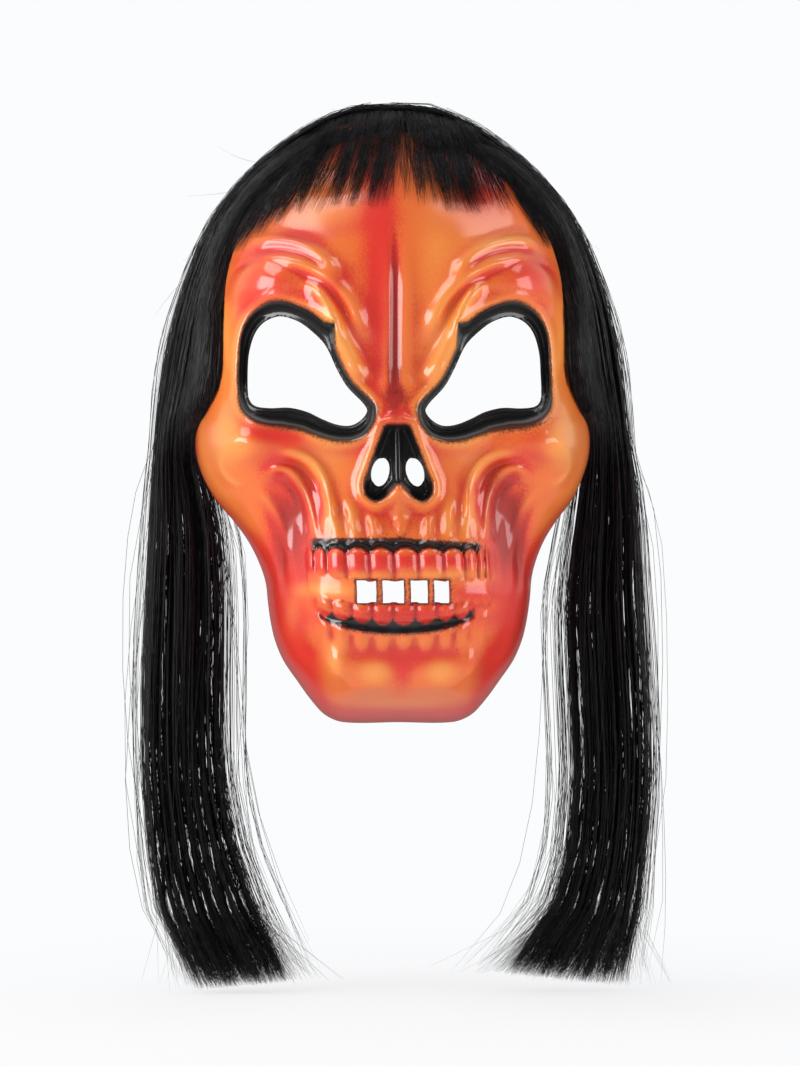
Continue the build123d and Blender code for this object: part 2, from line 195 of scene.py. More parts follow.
# Ridges and valleys: path of (|x|, z), half width on its left and on its right, height,
# and the share of the length that tapers at each end.
RIDGES = [
    ([(64, 70), (53, 72), (42.5, 70.2), (34.4, 66.4), (27.5, 60.6), (21.5, 52.6)], 3.2, 3.0, 4.0, 0.22),
    ([(61, 66.4), (50, 67.8), (40, 66), (33, 62.4), (27, 57)], 2.1, 2.1, -1.6, 0.25),
    ([(65, 60.5), (53, 64), (42.5, 62.4), (35.4, 59), (29, 55), (23, 49.6), (18.2, 43), (14.8, 35),
      (12.8, 26)],
     3.2, 4.0, 4.2, 0.2),
    ([(47, 59.6), (39.5, 57.6), (32.3, 53.8), (26.4, 48.6), (21.6, 42.2), (18, 35)], 2.3, 2.3, -1.9, 0.3),
    ([(37.5, 55.5), (33, 51), (28.8, 44.5), (25.6, 38), (22.4, 30.7), (19, 23.4), (15.4, 16.4), (11.5, 10)],
     3.6, 3.6, 5.4, 0.2),
    ([(70, 45), (69.6, 53), (66, 60), (59, 62.8), (50, 62.2), (42.5, 58)], 1.8, 1.8, -1.1, 0.2),
    ([(73, 52), (72.4, 40), (70.6, 28), (69, 14)], 2.2, 2.2, 1.4, 0.25),
    ([(52, -17), (42, -17.5), (34.5, -21), (29.8, -29), (28.6, -39), (30, -50)], 2.8, 2.0, 2.8, 0.22),
    ([(56, -29), (50, -23.6), (43.5, -25), (38.2, -33), (35.8, -43), (34.6, -56)], 2.5, 1.8, 2.8, 0.22),
    ([(62, -32), (57, -34), (51.5, -40), (47.6, -51), (46, -64), (47, -76)], 2.4, 2.4, 2.4, 0.25),
    ([(49, -20.5), (41, -22), (35, -28), (32, -37), (31.5, -48)], 1.2, 1.2, -1.4, 0.25),
    ([(52, -28), (46, -29), (41, -36), (39.5, -46), (39.5, -58)], 1.2, 1.2, -1.3, 0.25),
    ([(57, -52), (53.5, -60), (52, -70), (52.5, -84)], 1.8, 1.8, 1.8, 0.3),
    ([(61, -10), (70, -14), (73, -22), (68, -29), (60, -29)], 1.8, 1.8, 1.3, 0.25),
    ([(33.6, -30), (31.6, -40), (30.6, -52)], 1.7, 1.7, 1.8, 0.25),
    ([(29.4, -30), (27.4, -42), (26, -56)], 2.0, 2.2, 2.4, 0.4),
    ([(21.4, -34), (19.4, -44), (18.6, -57)], 2.0, 2.2, 2.4, 0.4),
    ([(13.4, -40), (11.2, -47), (10.6, -57)], 1.9, 2.1, 2.2, 0.4),
    ([(35, -80), (33, -90), (32.4, -98)], 2.0, 2.0, 1.2, 0.3),
    ([(28.5, -92), (28, -103), (25, -114)], 4.6, 5.2, 3.4, 0.4),
    ([(0, -113.6), (14, -113.4), (25, -115)], 2.4, 3.4, 1.5, 0.3),
]
UPPER_TEETH = [-39.2, -35.8, -30.8, -22.9, -13.7, -3.8, 6.4, 16.3, 25.0, 30.5, 33.6, 35.6]
LOWER_TEETH = [-35.5, -29.4, -21.3, -12.9, -4.4, 4.5, 13.6, 20.5, 26.6]
# Width of the black round an eye by direction from its middle, in degrees.
EYE_MIDDLE = (37.2, 17.0)
EYE_BLACK = [
    (-180, 2.3), (-165, 2.5), (-148, 2.8), (-132, 5.2), (-109, 6.2), (-73, 7.4), (-50, 6.0), (-36, 4.4),
    (-15, 3.2), (13, 3.0), (35, 4.4), (63, 5.8), (83, 5.4), (111, 5.6), (119, 7.0), (122, 8.0), (128, 5.6),
    (135, 3.8), (143, 2.4), (180, 2.3),
]


def step(low, high, value):
    """Smooth step from 0 at low to 1 at high, or down again where low is above high."""
    t = np.clip((value - low) / (high - low), 0, 1)
    return t * t * (3 - 2 * t)


def table(rows, at):
    """Straight interpolation in a list of (place, value)."""
    return np.interp(at, [r[0] for r in rows], [r[1] for r in rows])


def both_sides(half):
    """Closed outline from its right half."""
    return half + [(-x, z) for x, z in reversed(half) if abs(x) > 1e-6]


def rounded(points, per_span, closed=False):
    """Smooth curve through the points, as an array of places along it."""
    p = np.array(points, float)
    spans = len(p) if closed else len(p) - 1
    before = np.roll(p, 1, axis=0) if closed else np.vstack([p[:1], p[:-1]])
    after = np.roll(p, -1, axis=0) if closed else np.vstack([p[1:], p[-1:]])
    result = []
    for i in range(spans):
        j = (i + 1) % len(p)
        chord = np.linalg.norm(p[j] - p[i])
        leave = (after[i] - before[i]) * chord / (np.linalg.norm(p[i] - before[i]) + chord)
        arrive = (after[j] - before[j]) * chord / (np.linalg.norm(after[j] - p[j]) + chord)
        for k in range(per_span):
            t = k / per_span
            result.append((2*t**3 - 3*t**2 + 1) * p[i] + (t**3 - 2*t**2 + t) * leave
                          + (3*t**2 - 2*t**3) * p[j] + (t**3 - t**2) * arrive)
    if not closed:
        result.append(p[-1])
    return np.array(result)


def nearest(x, z, path):
    """Distance of each place from a path, how far along it from 0 to 1, and whether to its left."""
    best, along, left = np.full(np.shape(x), 1e9), np.zeros(np.shape(x)), np.zeros(np.shape(x), bool)
    lengths = np.linalg.norm(path[1:] - path[:-1], axis=1)
    run = 0.0
    for a, b, length in zip(path, path[1:], lengths):
        ux, uz = (b - a) / length
        px, pz = x - a[0], z - a[1]
        t = np.clip(px * ux + pz * uz, 0, length)
        gap = np.hypot(px - t * ux, pz - t * uz)
        closer = gap < best
        best, along = np.where(closer, gap, best), np.where(closer, run + t, along)
        left = np.where(closer, ux * pz - uz * px > 0, left)
        run += length
    return best, along / run, left


def outside(x, z, loop):
    """Signed distance to a closed outline, negative inside it."""
    gap, _, _ = nearest(x, z, np.vstack([loop, loop[:1]]))
    within = np.zeros(np.shape(x), bool)
    for a, b in zip(loop, np.roll(loop, -1, axis=0)):
        if a[1] != b[1]:
            crossing = (a[1] > z) != (b[1] > z)
            within ^= crossing & (x < a[0] + (b[0] - a[0]) * (z - a[1]) / (b[1] - a[1]))
    return np.where(within, -gap, gap)


RIM_LOOP = rounded(both_sides(RIM), 10, closed=True)
EYE_LOOP = rounded(EYE, 8, closed=True)
NOSE_LOOP = rounded(both_sides(NOSE), 8, closed=True)
RIM_ANGLES = np.arctan2(RIM_LOOP[:, 1], RIM_LOOP[:, 0])
RIM_ORDER = np.argsort(RIM_ANGLES)
RIM_REACH = np.hypot(RIM_LOOP[:, 0], RIM_LOOP[:, 1])


def rim_reach(angle):
    """Distance of the rim from the middle of the face in a direction."""
    return np.interp(angle, RIM_ANGLES[RIM_ORDER], RIM_REACH[RIM_ORDER], period=2 * math.pi)


def rim_share(x, z):
    """How far out a place lies, 0 in the middle and 1 on the rim."""
    return np.hypot(x, z) / rim_reach(np.arctan2(z, x))


def hill(x, z, centre, size, turn=0.0):
    """Smooth hill of height 1 on both sides of the face."""
    px, pz = np.abs(x) - centre[0], z - centre[1]
    c, s = math.cos(math.radians(turn)), math.sin(math.radians(turn))
    return np.exp(-((px * c + pz * s) / size[0]) ** 2 - ((pz * c - px * s) / size[1]) ** 2)


def ridge(x, z, points, left_width, right_width, height, taper):
    """Ridge or valley along a path, on both sides of the face, that fades at both ends."""
    path = rounded(points, 8)
    side, wide = np.abs(x), 3 * max(left_width, right_width)
    low, high = path.min(axis=0) - wide, path.max(axis=0) + wide
    near = (side > low[0]) & (side < high[0]) & (z > low[1]) & (z < high[1])
    result = np.zeros(np.shape(x))
    gap, along, left = nearest(side[near], z[near], path)
    width = np.where(left, left_width, right_width)
    result[near] = height * np.exp(-(gap / width) ** 2) * step(0, taper, along) * step(0, taper, 1 - along)
    return result


def tooth_round(x, edges):
    """1 over the middle of each tooth and 0 at the gaps between them, as a round section."""
    edges = np.array(edges)
    number = np.clip(np.searchsorted(edges, x, side="right") - 1, 0, len(edges) - 2)
    middle, half = (edges[number] + edges[number + 1]) / 2, (edges[number + 1] - edges[number]) / 2
    return np.clip(1 - ((x - middle) / half) ** 2, 0, 1) ** 0.7


def within(x, low, high, soft=1.2):
    """1 between two places across the face, and 0 outside them."""
    return step(low - soft, low, x) * step(high + soft, high, x)


def gum_edge(x):
    """Scalloped lower edge of the upper gum, arched over each tooth."""
    return -58.2 + 2.8 * tooth_round(x, UPPER_TEETH)


def gum_top(x):
    """Upper edge of the black on the upper gum, lower towards the right."""
    return -53.3 - 0.07 * np.clip(x, 0, 32)


def bite_top(x):
    """Upper edge of the flat band between the rows of teeth."""
    return -68.4 + 0.006 * np.clip(-x - 14, 0, None) ** 2


def bite_low(x):
    """Lower edge of the flat band."""
    return -78.4 + 0.0075 * np.clip(-x - 14, 0, None) ** 2


def lower_gum(x):
    """Height of the sagging line under the lower teeth."""
    return -88.4 + 4.8 * ((x + 2.5) / 31) ** 2


def teeth(x, z):
    """Gum lines, both rows of teeth and the flat band between them."""
    upper, lower = tooth_round(x, UPPER_TEETH), tooth_round(x, LOWER_TEETH)
    top, low, gum, line = bite_top(x), bite_low(x), gum_edge(x), lower_gum(x)
    row = step(gum + 0.3, gum - 1.8, z) * step(top - 0.5, top + 0.6, z)
    belly = 1 - 0.25 * np.clip((z + 62.5) / 5, -1, 1) ** 2
    total = within(x, -39.2, 35.6) * row * (0.2 + 3.3 * upper * belly)
    total += 1.5 * within(x, -38.5, 36.0, 0.8) * step(top + 0.3, top - 0.5, z) * step(low - 0.6, low + 0.4, z)
    cord = np.exp(-((z - gum - 1.5) / 0.9) ** 2) - 0.9 * np.exp(-((z - gum - 0.1) / 0.7) ** 2)
    total += 1.5 * within(x, -36, 32) * cord
    middle, half = (low + line + 2.2) / 2, (low - line - 2.2) / 2
    bead = np.sqrt(np.clip(1 - ((z - middle) / half) ** 2, 0, 1))
    total += within(x, -35, 26.6) * 3.4 * bead * (0.1 + 0.9 * lower)
    total -= 1.7 * np.exp(-((z - line) / 1.7) ** 2) * within(x, -33, 28)
    gums = np.exp(-((z - line + 6.0) / 4.0) ** 2) * within(x, -30, 25, 4)
    return total + 2.6 * (lower ** 2.6 - 0.45) * gums


def lip_wedge(x, z):
    """Low wedge from the foot of the nose down to the upper gum."""
    half = np.interp(z, [-52.5, -41.0, -33.0], [0.5, 5.8, 2.2])
    return 2.4 * np.clip(1 - np.abs(x) / half, 0, 1) * step(-52.5, -47, z) * step(-30, -36, z)


def eye_band(side, z):
    """Distance from the eye hole, and the width of the black there."""
    turn = np.degrees(np.arctan2(z - EYE_MIDDLE[1], side - EYE_MIDDLE[0]))
    return outside(side, z, EYE_LOOP), table(EYE_BLACK, turn)


def relief(x, z):
    """Height of all modelled forms over the plain curved face."""
    side = np.abs(x)
    total = sum(height * hill(x, z, centre, size, turn) for centre, size, turn, height in FORMS)
    for (cx, cz), (half_x, half_z), height in BOSSES:
        total = total + height * np.exp(-(((side - cx) / half_x) ** 2 + ((z - cz) / half_z) ** 2) ** 1.35)
    total = total + 7.0 * np.exp(-(side / 40) ** 4) * step(-40, -56, z) * step(-100, -88, z)
    total += 8.0 * np.exp(-(side / 34) ** 4) * np.exp(-((z + 110) / 15) ** 2)
    total += 6.0 * np.exp(-(x / 14) ** 2) * step(-48, -20, z) * step(22, -4, z)
    crease = 2.2 * np.exp(-((side - 3.8) / 2.8) ** 2) - 1.0 * np.exp(-((x + 1.2) / 1.3) ** 2)
    total += crease * step(3, 16, z) * step(84, 46, z)
    for points, left_width, right_width, height, taper in RIDGES:
        total += ridge(x, z, points, left_width, right_width, height, taper)
    eye, black = eye_band(side, z)
    total += 1.7 * np.exp(-((eye - black - 1.8) / 1.9) ** 2)
    total -= 7.0 * step(black + 0.5, 0.45 * black, eye)
    total += 1.2 * step(14, 2, z) * np.exp(-((eye - 1.3) / 0.8) ** 2)
    nose = outside(x, z, NOSE_LOOP)
    total += 2.4 * np.exp(-((nose - 2.2) / 1.9) ** 2)
    total -= 6.0 * step(0.6, -2.0, nose)
    total += 4.5 * np.exp(-(x / 1.3) ** 2) * step(0.0, -2.0, nose)
    return total + teeth(x, z) + lip_wedge(x, z)


def depth(x, z):
    """How far in front of the rim plane the outer surface is."""
    share = np.clip(rim_share(x, z), 0, 1)
    plain = table(DEPTH, z) * np.sqrt(1 - share ** table(SQUARENESS, z))
    return plain + relief(x, z) * step(0, 0.16, 1 - share)


# ======================================================================================
# Materials
# ======================================================================================
class Value:
    """A number that varies over a surface, so that masks read as plain sums and products."""

    def __init__(self, finish, socket):
        self.finish, self.socket = finish, socket

    def _with(self, operation, first, second):
        node = self.finish.node("ShaderNodeMath", {"operation": operation}, {0: first, 1: second})
        return Value(self.finish, node.outputs[0])

    def __add__(self, other):
        return self._with("ADD", self, other)

    def __radd__(self, other):
        return self._with("ADD", other, self)

    def __sub__(self, other):
        return self._with("SUBTRACT", self, other)

    def __rsub__(self, other):
        return self._with("SUBTRACT", other, self)

    def __mul__(self, other):
        return self._with("MULTIPLY", self, other)

    def __rmul__(self, other):
        return self._with("MULTIPLY", other, self)

    def rise(self, low, high):
        """Smooth step from 0 at low to 1 at high."""
        node = self.finish.node(
            "ShaderNodeMapRange", {"interpolation_type": "SMOOTHSTEP"}, {0: self, 1: low, 2: high})
        return Value(self.finish, node.outputs[0])


class Finish:
    """A material under construction."""

    def __init__(self, name, **constants):
        self.material = bpy.data.materials.new(name)
        self.material.use_nodes = True
        self.tree = self.material.node_tree
        self.shader = self.tree.nodes["Principled BSDF"]
        for socket, value in constants.items():
            socket = socket.replace("_", " ").title().replace("Ior", "IOR")
            if isinstance(value, (tuple, list)) and len(value) == 3:
                value = (*value, 1.0)
            self.shader.inputs[socket].default_value = value

    def node(self, kind, settings=None, sockets=None):
        """Any node: its settings first, then the value or link of each socket."""
        node = self.tree.nodes.new(kind)
        for key, value in (settings or {}).items():
            setattr(node, key, value)
        for key, value in (sockets or {}).items():
            self.put(node.inputs[key], value)
        return node

    def put(self, socket, value):
        """Links or sets one socket."""
        if isinstance(value, Value):
            self.tree.links.new(value.socket, socket)
        elif isinstance(value, bpy.types.NodeSocket):
            self.tree.links.new(value, socket)
        elif hasattr(value, "__len__") and len(value) == 3 and socket.type == "RGBA":
            socket.default_value = (*value, 1.0)
        else:
            socket.default_value = value

    def attribute(self, name):
        """A number stored on the piece's own mesh."""
        return Value(self, self.node("ShaderNodeAttribute", {"attribute_name": name}).outputs["Fac"])

    def place(self, stretch=(1, 1, 1), uv=False):
        """Coordinates of the piece, scaled for a pattern."""
        kind = "UV" if uv else "Object"
        source = self.node("ShaderNodeTexCoord").outputs[kind]
        return self.node("ShaderNodeMapping", sockets={"Vector": source, "Scale": stretch}).outputs[0]

    def noise(self, scale, detail=2.0, stretch=(1, 1, 1), rough=0.5):
        """Cloudy grain, 0 to 1, with its size given in pieces per metre."""
        node = self.node("ShaderNodeTexNoise", sockets={
            "Vector": self.place(stretch), "Scale": scale, "Detail": detail, "Roughness": rough})
        return Value(self, node.outputs["Fac"])

    def mix(self, mask, first, second):
        """Colour that goes from first to second with the mask."""
        node = self.node("ShaderNodeMix", {"data_type": "RGBA"}, {0: mask, 6: first, 7: second})
        return node.outputs[2]

    def feed(self, socket, value):
        """Drives one input of the shader."""
        self.put(self.shader.inputs[socket], value)

    def bump(self, height, distance, strength=1.0):
        """Fine relief that changes only the shading."""
        node = self.node("ShaderNodeBump", sockets={
            "Height": height, "Distance": distance, "Strength": strength})
        self.feed("Normal", node.outputs[0])


def painted_plastic(face):
    """Glossy orange plastic with airbrushed red zones and crisp black at the eyes, nose and gums; its masks
    also carry painted shade in the hollows and painted highlights on raised parts.
    """
    finish = Finish(
        "painted_plastic", roughness=0.36, specular_ior_level=0.25, coat_weight=0.85, coat_roughness=0.15,
        coat_ior=1.9)
    speckle = finish.noise(1000, 3.0, rough=0.75)
    cloud = finish.noise(42, 3.0)
    grain = (speckle - 0.5) * 1.9
    red = (finish.attribute("red") + (cloud - 0.5) * 0.30 + grain * 0.5).rise(0.06, 0.94)
    deep = (finish.attribute("deep") + (cloud - 0.5) * 0.16 + grain * 0.55).rise(0.12, 1.0)
    amber_and_highlight = (finish.attribute("amber_and_highlight") + grain * 0.35).rise(0.10, 1.0)
    black_spray_and_shade = (finish.attribute("black_spray_and_shade") + grain * 0.8).rise(0.15, 1.0)
    colour = finish.mix(red, tuple(face.orange), tuple(face.red))
    colour = finish.mix(amber_and_highlight, colour, tuple(face.amber_and_highlight))
    colour = finish.mix(deep, colour, tuple(face.deep))
    colour = finish.mix(black_spray_and_shade * 0.92, colour, tuple(face.black))
    edge = finish.attribute("black_gap") + (speckle - 0.5) * 0.5
    black = 1 - edge.rise(-0.42, 0.42)
    finish.feed("Base Color", finish.mix(black, colour, tuple(face.black)))
    smudge = finish.noise(120, 2.0)
    finish.feed("Roughness", 0.30 + smudge * 0.10 + speckle * 0.06)
    finish.bump(speckle, 0.00004, 0.4)
    return finish.material


def bare_plastic(face):
    """Back of the sheet, where the paint shows through faintly."""
    finish = Finish("bare_plastic", roughness=0.42)
    mottle = finish.noise(60, 3.0)
    fine = finish.noise(1500, 2.0)
    tinted = tuple(0.72 * c for c in face.inside)
    finish.feed("Base Color", finish.mix(mottle.rise(0.35, 0.7), tuple(face.inside), tinted))
    finish.feed("Roughness", 0.38 + fine * 0.12)
    finish.bump(fine, 0.00003, 0.3)
    return finish.material


def cut_edge(face):
    """Trimmed edge of the sheet: black at the eyes and nose, dark red elsewhere."""
    finish = Finish("cut_edge", roughness=0.5)
    grain = finish.noise(900, 2.0)
    colour = finish.mix(grain, tuple(0.9 * c for c in face.deep), tuple(face.red))
    black = 1 - finish.attribute("black_gap").rise(0.0, 1.0)
    finish.feed("Base Color", finish.mix(black, colour, tuple(face.black)))
    return finish.material


def hair_fibre(hair):
    """Black synthetic fibre; each strand has its own shade and gloss, and the brighter strands take a lighter
    base colour as a painted glint.
    """
    finish = Finish("hair_fibre", roughness=0.5, specular_ior_level=0.3, coat_roughness=0.26)
    shade = finish.attribute("shade")
    glint = finish.noise(260, 3.0)
    # Painted glint: bright strands, in patches along them, take a lighter colour as well as more coat.
    painted_glint = shade.rise(0.4, 0.85) * glint.rise(0.34, 0.60)
    glint_colour = tuple(5.0 * c for c in hair.colour)
    finish.feed("Base Color", finish.mix(painted_glint, tuple(hair.colour), glint_colour))
    finish.feed("Coat Weight", 0.25 + 0.75 * painted_glint)
    return finish.material


def ribbed_elastic():
    """Flat woven elastic: fine cross threads over its ribs."""
    finish = Finish("ribbed_elastic", roughness=0.75)
    threads = finish.node("ShaderNodeTexWave", {"wave_type": "BANDS", "bands_direction": "X"}, {
        "Vector": finish.place(uv=True), "Scale": 420.0, "Distortion": 0.5, "Detail": 1.0})
    weave = Value(finish, threads.outputs["Fac"])
    fuzz = finish.noise(1800, 2.0)
    threads_shown = weave * 0.7 + fuzz * 0.3
    finish.feed("Base Color", finish.mix(threads_shown, (0.008, 0.008, 0.009), (0.034, 0.034, 0.037)))
    finish.feed("Roughness", 0.84 - weave * 0.2)
    finish.bump(weave * 0.8 + fuzz * 0.2, 0.0002, 0.8)
    return finish.material


def woven_tape():
    """Black cotton tape of the hair weft."""
    finish = Finish("woven_tape", roughness=0.85)
    across = finish.node("ShaderNodeTexWave", {"wave_type": "BANDS", "bands_direction": "X"}, {
        "Vector": finish.place(), "Scale": 480.0, "Distortion": 0.4})
    along = finish.node("ShaderNodeTexWave", {"wave_type": "BANDS", "bands_direction": "Y"}, {
        "Vector": finish.place(), "Scale": 480.0, "Distortion": 0.4})
    weave = Value(finish, across.outputs["Fac"]) * Value(finish, along.outputs["Fac"])
    fuzz = finish.noise(2200, 2.0)
    finish.feed("Base Color", finish.mix(weave, (0.010, 0.010, 0.011), (0.045, 0.045, 0.048)))
    finish.feed("Roughness", 0.8 + fuzz * 0.15)
    finish.bump(weave * 0.8 + fuzz * 0.2, 0.0002, 0.8)
    return finish.material


def worn_steel():
    """Nickelled steel of the rivets and staples, lightly brushed."""
    finish = Finish("worn_steel", base_color=(0.62, 0.61, 0.58), metallic=1.0, roughness=0.3)
    scratches = finish.noise(1400, 3.0, stretch=(1, 0.15, 1))
    dull = finish.noise(260, 2.0)
    finish.feed("Base Color", finish.mix(dull.rise(0.4, 0.75), (0.64, 0.63, 0.60), (0.46, 0.44, 0.41)))
    finish.feed("Roughness", 0.22 + scratches * 0.2)
    finish.bump(scratches, 0.00004, 0.4)
    return finish.material


# ======================================================================================
# Helpers for pieces
# ======================================================================================
def add_piece(name, mesh, material, body=None):
    """Puts a finished mesh in the scene as one piece of the object."""
    piece = bpy.data.objects.new(name, mesh)
    bpy.context.scene.collection.objects.link(piece)
    if not mesh.materials:
        mesh.materials.append(material)
    mesh.shade_smooth()
    if body:
        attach(piece, body)
    return piece


def from_bmesh(bm, name):
    """Turns a bmesh into a mesh."""
    mesh = bpy.data.meshes.new(name)
    bm.to_mesh(mesh)
    bm.free()
    return mesh


def centre_of(node):
    """Middle of a CAD node's box."""
    low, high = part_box(node)
    return (low + high) / 2


# ======================================================================================
# The face
# ======================================================================================
def disc_from_square(s, t):
    """Moves a square grid onto a disc with no folded corners."""
    return s * np.sqrt(1 - t * t / 2), t * np.sqrt(1 - s * s / 2)


def closer_at_rim(radius, turn=0.75):
    """Even rings over the face, and finer and finer ones down the side walls."""
    pace = 1 / (turn + (1 - turn) / 2)
    late = np.clip((radius - turn) / (1 - turn), 0, 1)
    return pace * (np.minimum(radius, turn) + (1 - turn) * (late - late * late / 2))


def vertex_places(bm):
    """Current x and z of all vertices, in millimetres."""
    places = np.array([(v.co.x, v.co.z) for v in bm.verts]) / MM
    return places[:, 0], places[:, 1]


def refine(bm, wanted):
    """Halves the grid where the test on x and z says so."""
    bm.verts.index_update()
    x, z = vertex_places(bm)
    inside = wanted(x, z)
    faces = [f for f in bm.faces if all(inside[v.index] for v in f.verts)]
    edges = list({e for f in faces for e in f.edges})
    bmesh.ops.subdivide_edges(bm, edges=edges, cuts=1, use_grid_fill=True)


def trim_to(bm, distance, snap=0.16):
    """Cuts the flat sheet along the zero line of a distance, and removes what is inside."""
    bm.verts.ensure_lookup_table()
    bm.verts.index_update()
    x, z = vertex_places(bm)
    gap = distance(x, z)
    near = np.flatnonzero(np.abs(gap) < snap)
    nx, nz, d = x[near], z[near], 0.05
    slope_x = (distance(nx + d, nz) - distance(nx - d, nz)) / (2 * d)
    slope_z = (distance(nx, nz + d) - distance(nx, nz - d)) / (2 * d)
    for index, move_x, move_z in zip(near, gap[near] * slope_x, gap[near] * slope_z):
        bm.verts[index].co -= Vector((move_x, 0, move_z)) * MM
    gap[near] = 0.0
    gaps = dict(zip(bm.verts, gap.tolist()))
    for edge in [e for e in bm.edges if gaps[e.verts[0]] * gaps[e.verts[1]] < 0]:
        first, second = edge.verts
        share = gaps[first] / (gaps[first] - gaps[second])
        gaps[bmesh.utils.edge_split(edge, first, share)[1]] = 0.0
    for face in list(bm.faces):
        values = [gaps[v] for v in face.verts]
        on = [v for v in face.verts if gaps[v] == 0.0]
        if min(values) < 0 < max(values) and len(on) == 2 and bm.edges.get(on) is None:
            bmesh.utils.face_split(face, on[0], on[1])
    inside = [f for f in bm.faces if min(gaps[v] for v in f.verts) < 0]
    bmesh.ops.delete(bm, geom=inside, context="FACES")


def cut_window(bm, left, right):
    """Cuts one square window between the teeth out of the flat sheet."""
    low, high = WINDOW_Z
    middle, reach = ((left + right) / 2, (low + high) / 2), ((right - left) / 2, (high - low) / 2)
    cuts = [((left, low), (1, 0, 0)), ((right, low), (1, 0, 0)), ((left, low), (0, 0, 1)),
            ((left, high), (0, 0, 1))]

    def off_centre(face):
        place = face.calc_center_median() / MM
        return abs(place.x - middle[0]) - reach[0], abs(place.z - middle[1]) - reach[1]

    for (x, z), normal in cuts:
        faces = [f for f in bm.faces if max(off_centre(f)) < 1.5]
        around = faces + list({e for f in faces for e in f.edges}) + list({v for f in faces for v in f.verts})
        bmesh.ops.bisect_plane(
            bm, geom=around, plane_co=(x * MM, 0, z * MM), plane_no=normal, dist=0.04 * MM)
    bmesh.ops.delete(bm, geom=[f for f in bm.faces if max(off_centre(f)) < 0], context="FACES")


def nostril_gap(x, z):
    """Distance to the edge of a nostril hole."""
    (cx, cz), (half_x, half_z), tilt = NOSTRIL
    c, s = math.cos(math.radians(tilt)), math.sin(math.radians(tilt))
    px, pz = np.abs(x) - cx, z - cz
    u, v = (px * c + pz * s) / half_x, (pz * c - px * s) / half_z
    return (np.hypot(u, v) - 1) * (half_x + half_z) / 2


def black_gap(x, z):
    """Distance to the nearest crisp black paint, negative in it."""
    eye, black = eye_band(np.abs(x), z)
    gap = np.minimum(eye - black, outside(x, z, NOSE_LOOP) - 0.2)
    edge = gum_edge(x)
    upper = np.maximum(np.maximum(edge + 0.1 - z, z - gum_top(x)), np.maximum(-35.8 - x, x - 31.9))
    line = lower_gum(x)
    ends = 1 - np.clip(np.abs(x + 3.2) / 31.5, 0, 1) ** 6
    beads = 1.8 - 3.2 * tooth_round(x, LOWER_TEETH)
    lower = np.maximum(line - 2.3 * ends - z, z - line - 2.0 * ends - beads)
    lower = np.maximum(lower, np.maximum(-34.0 - x, x - 28.0))
    return np.minimum(gap, np.minimum(upper, lower))


def cavity(x, z, reach=1.8):
    """How far a place lies below its surroundings, in millimetres."""
    around = depth(x - reach, z) + depth(x + reach, z) + depth(x, z - reach) + depth(x, z + reach)
    return around / 4 - depth(x, z)


def window_gap(x, z):
    """Distance to the edge of the nearest window between the teeth."""
    low, high = WINDOW_Z
    upright = np.abs(z - (low + high) / 2) - (high - low) / 2
    across = np.min([np.abs(x - (a + b) / 2) - (b - a) / 2 for a, b in WINDOWS], axis=0)
    return np.maximum(upright, across)


def airbrush(kind, x, z):
    """Strength of one colour of the airbrush over the face."""
    total = np.zeros(np.shape(x))
    for colour, (cx, cz), (half_x, half_z), turn, strength, mirrored in CLOUDS:
        if colour != kind:
            continue
        c, s = math.cos(math.radians(turn)), math.sin(math.radians(turn))
        px, pz = (np.abs(x) if mirrored else x) - cx, z - cz
        u, v = (px * c + pz * s) / half_x, (pz * c - px * s) / half_z
        total += strength * np.exp(-(u * u + v * v))
    return total


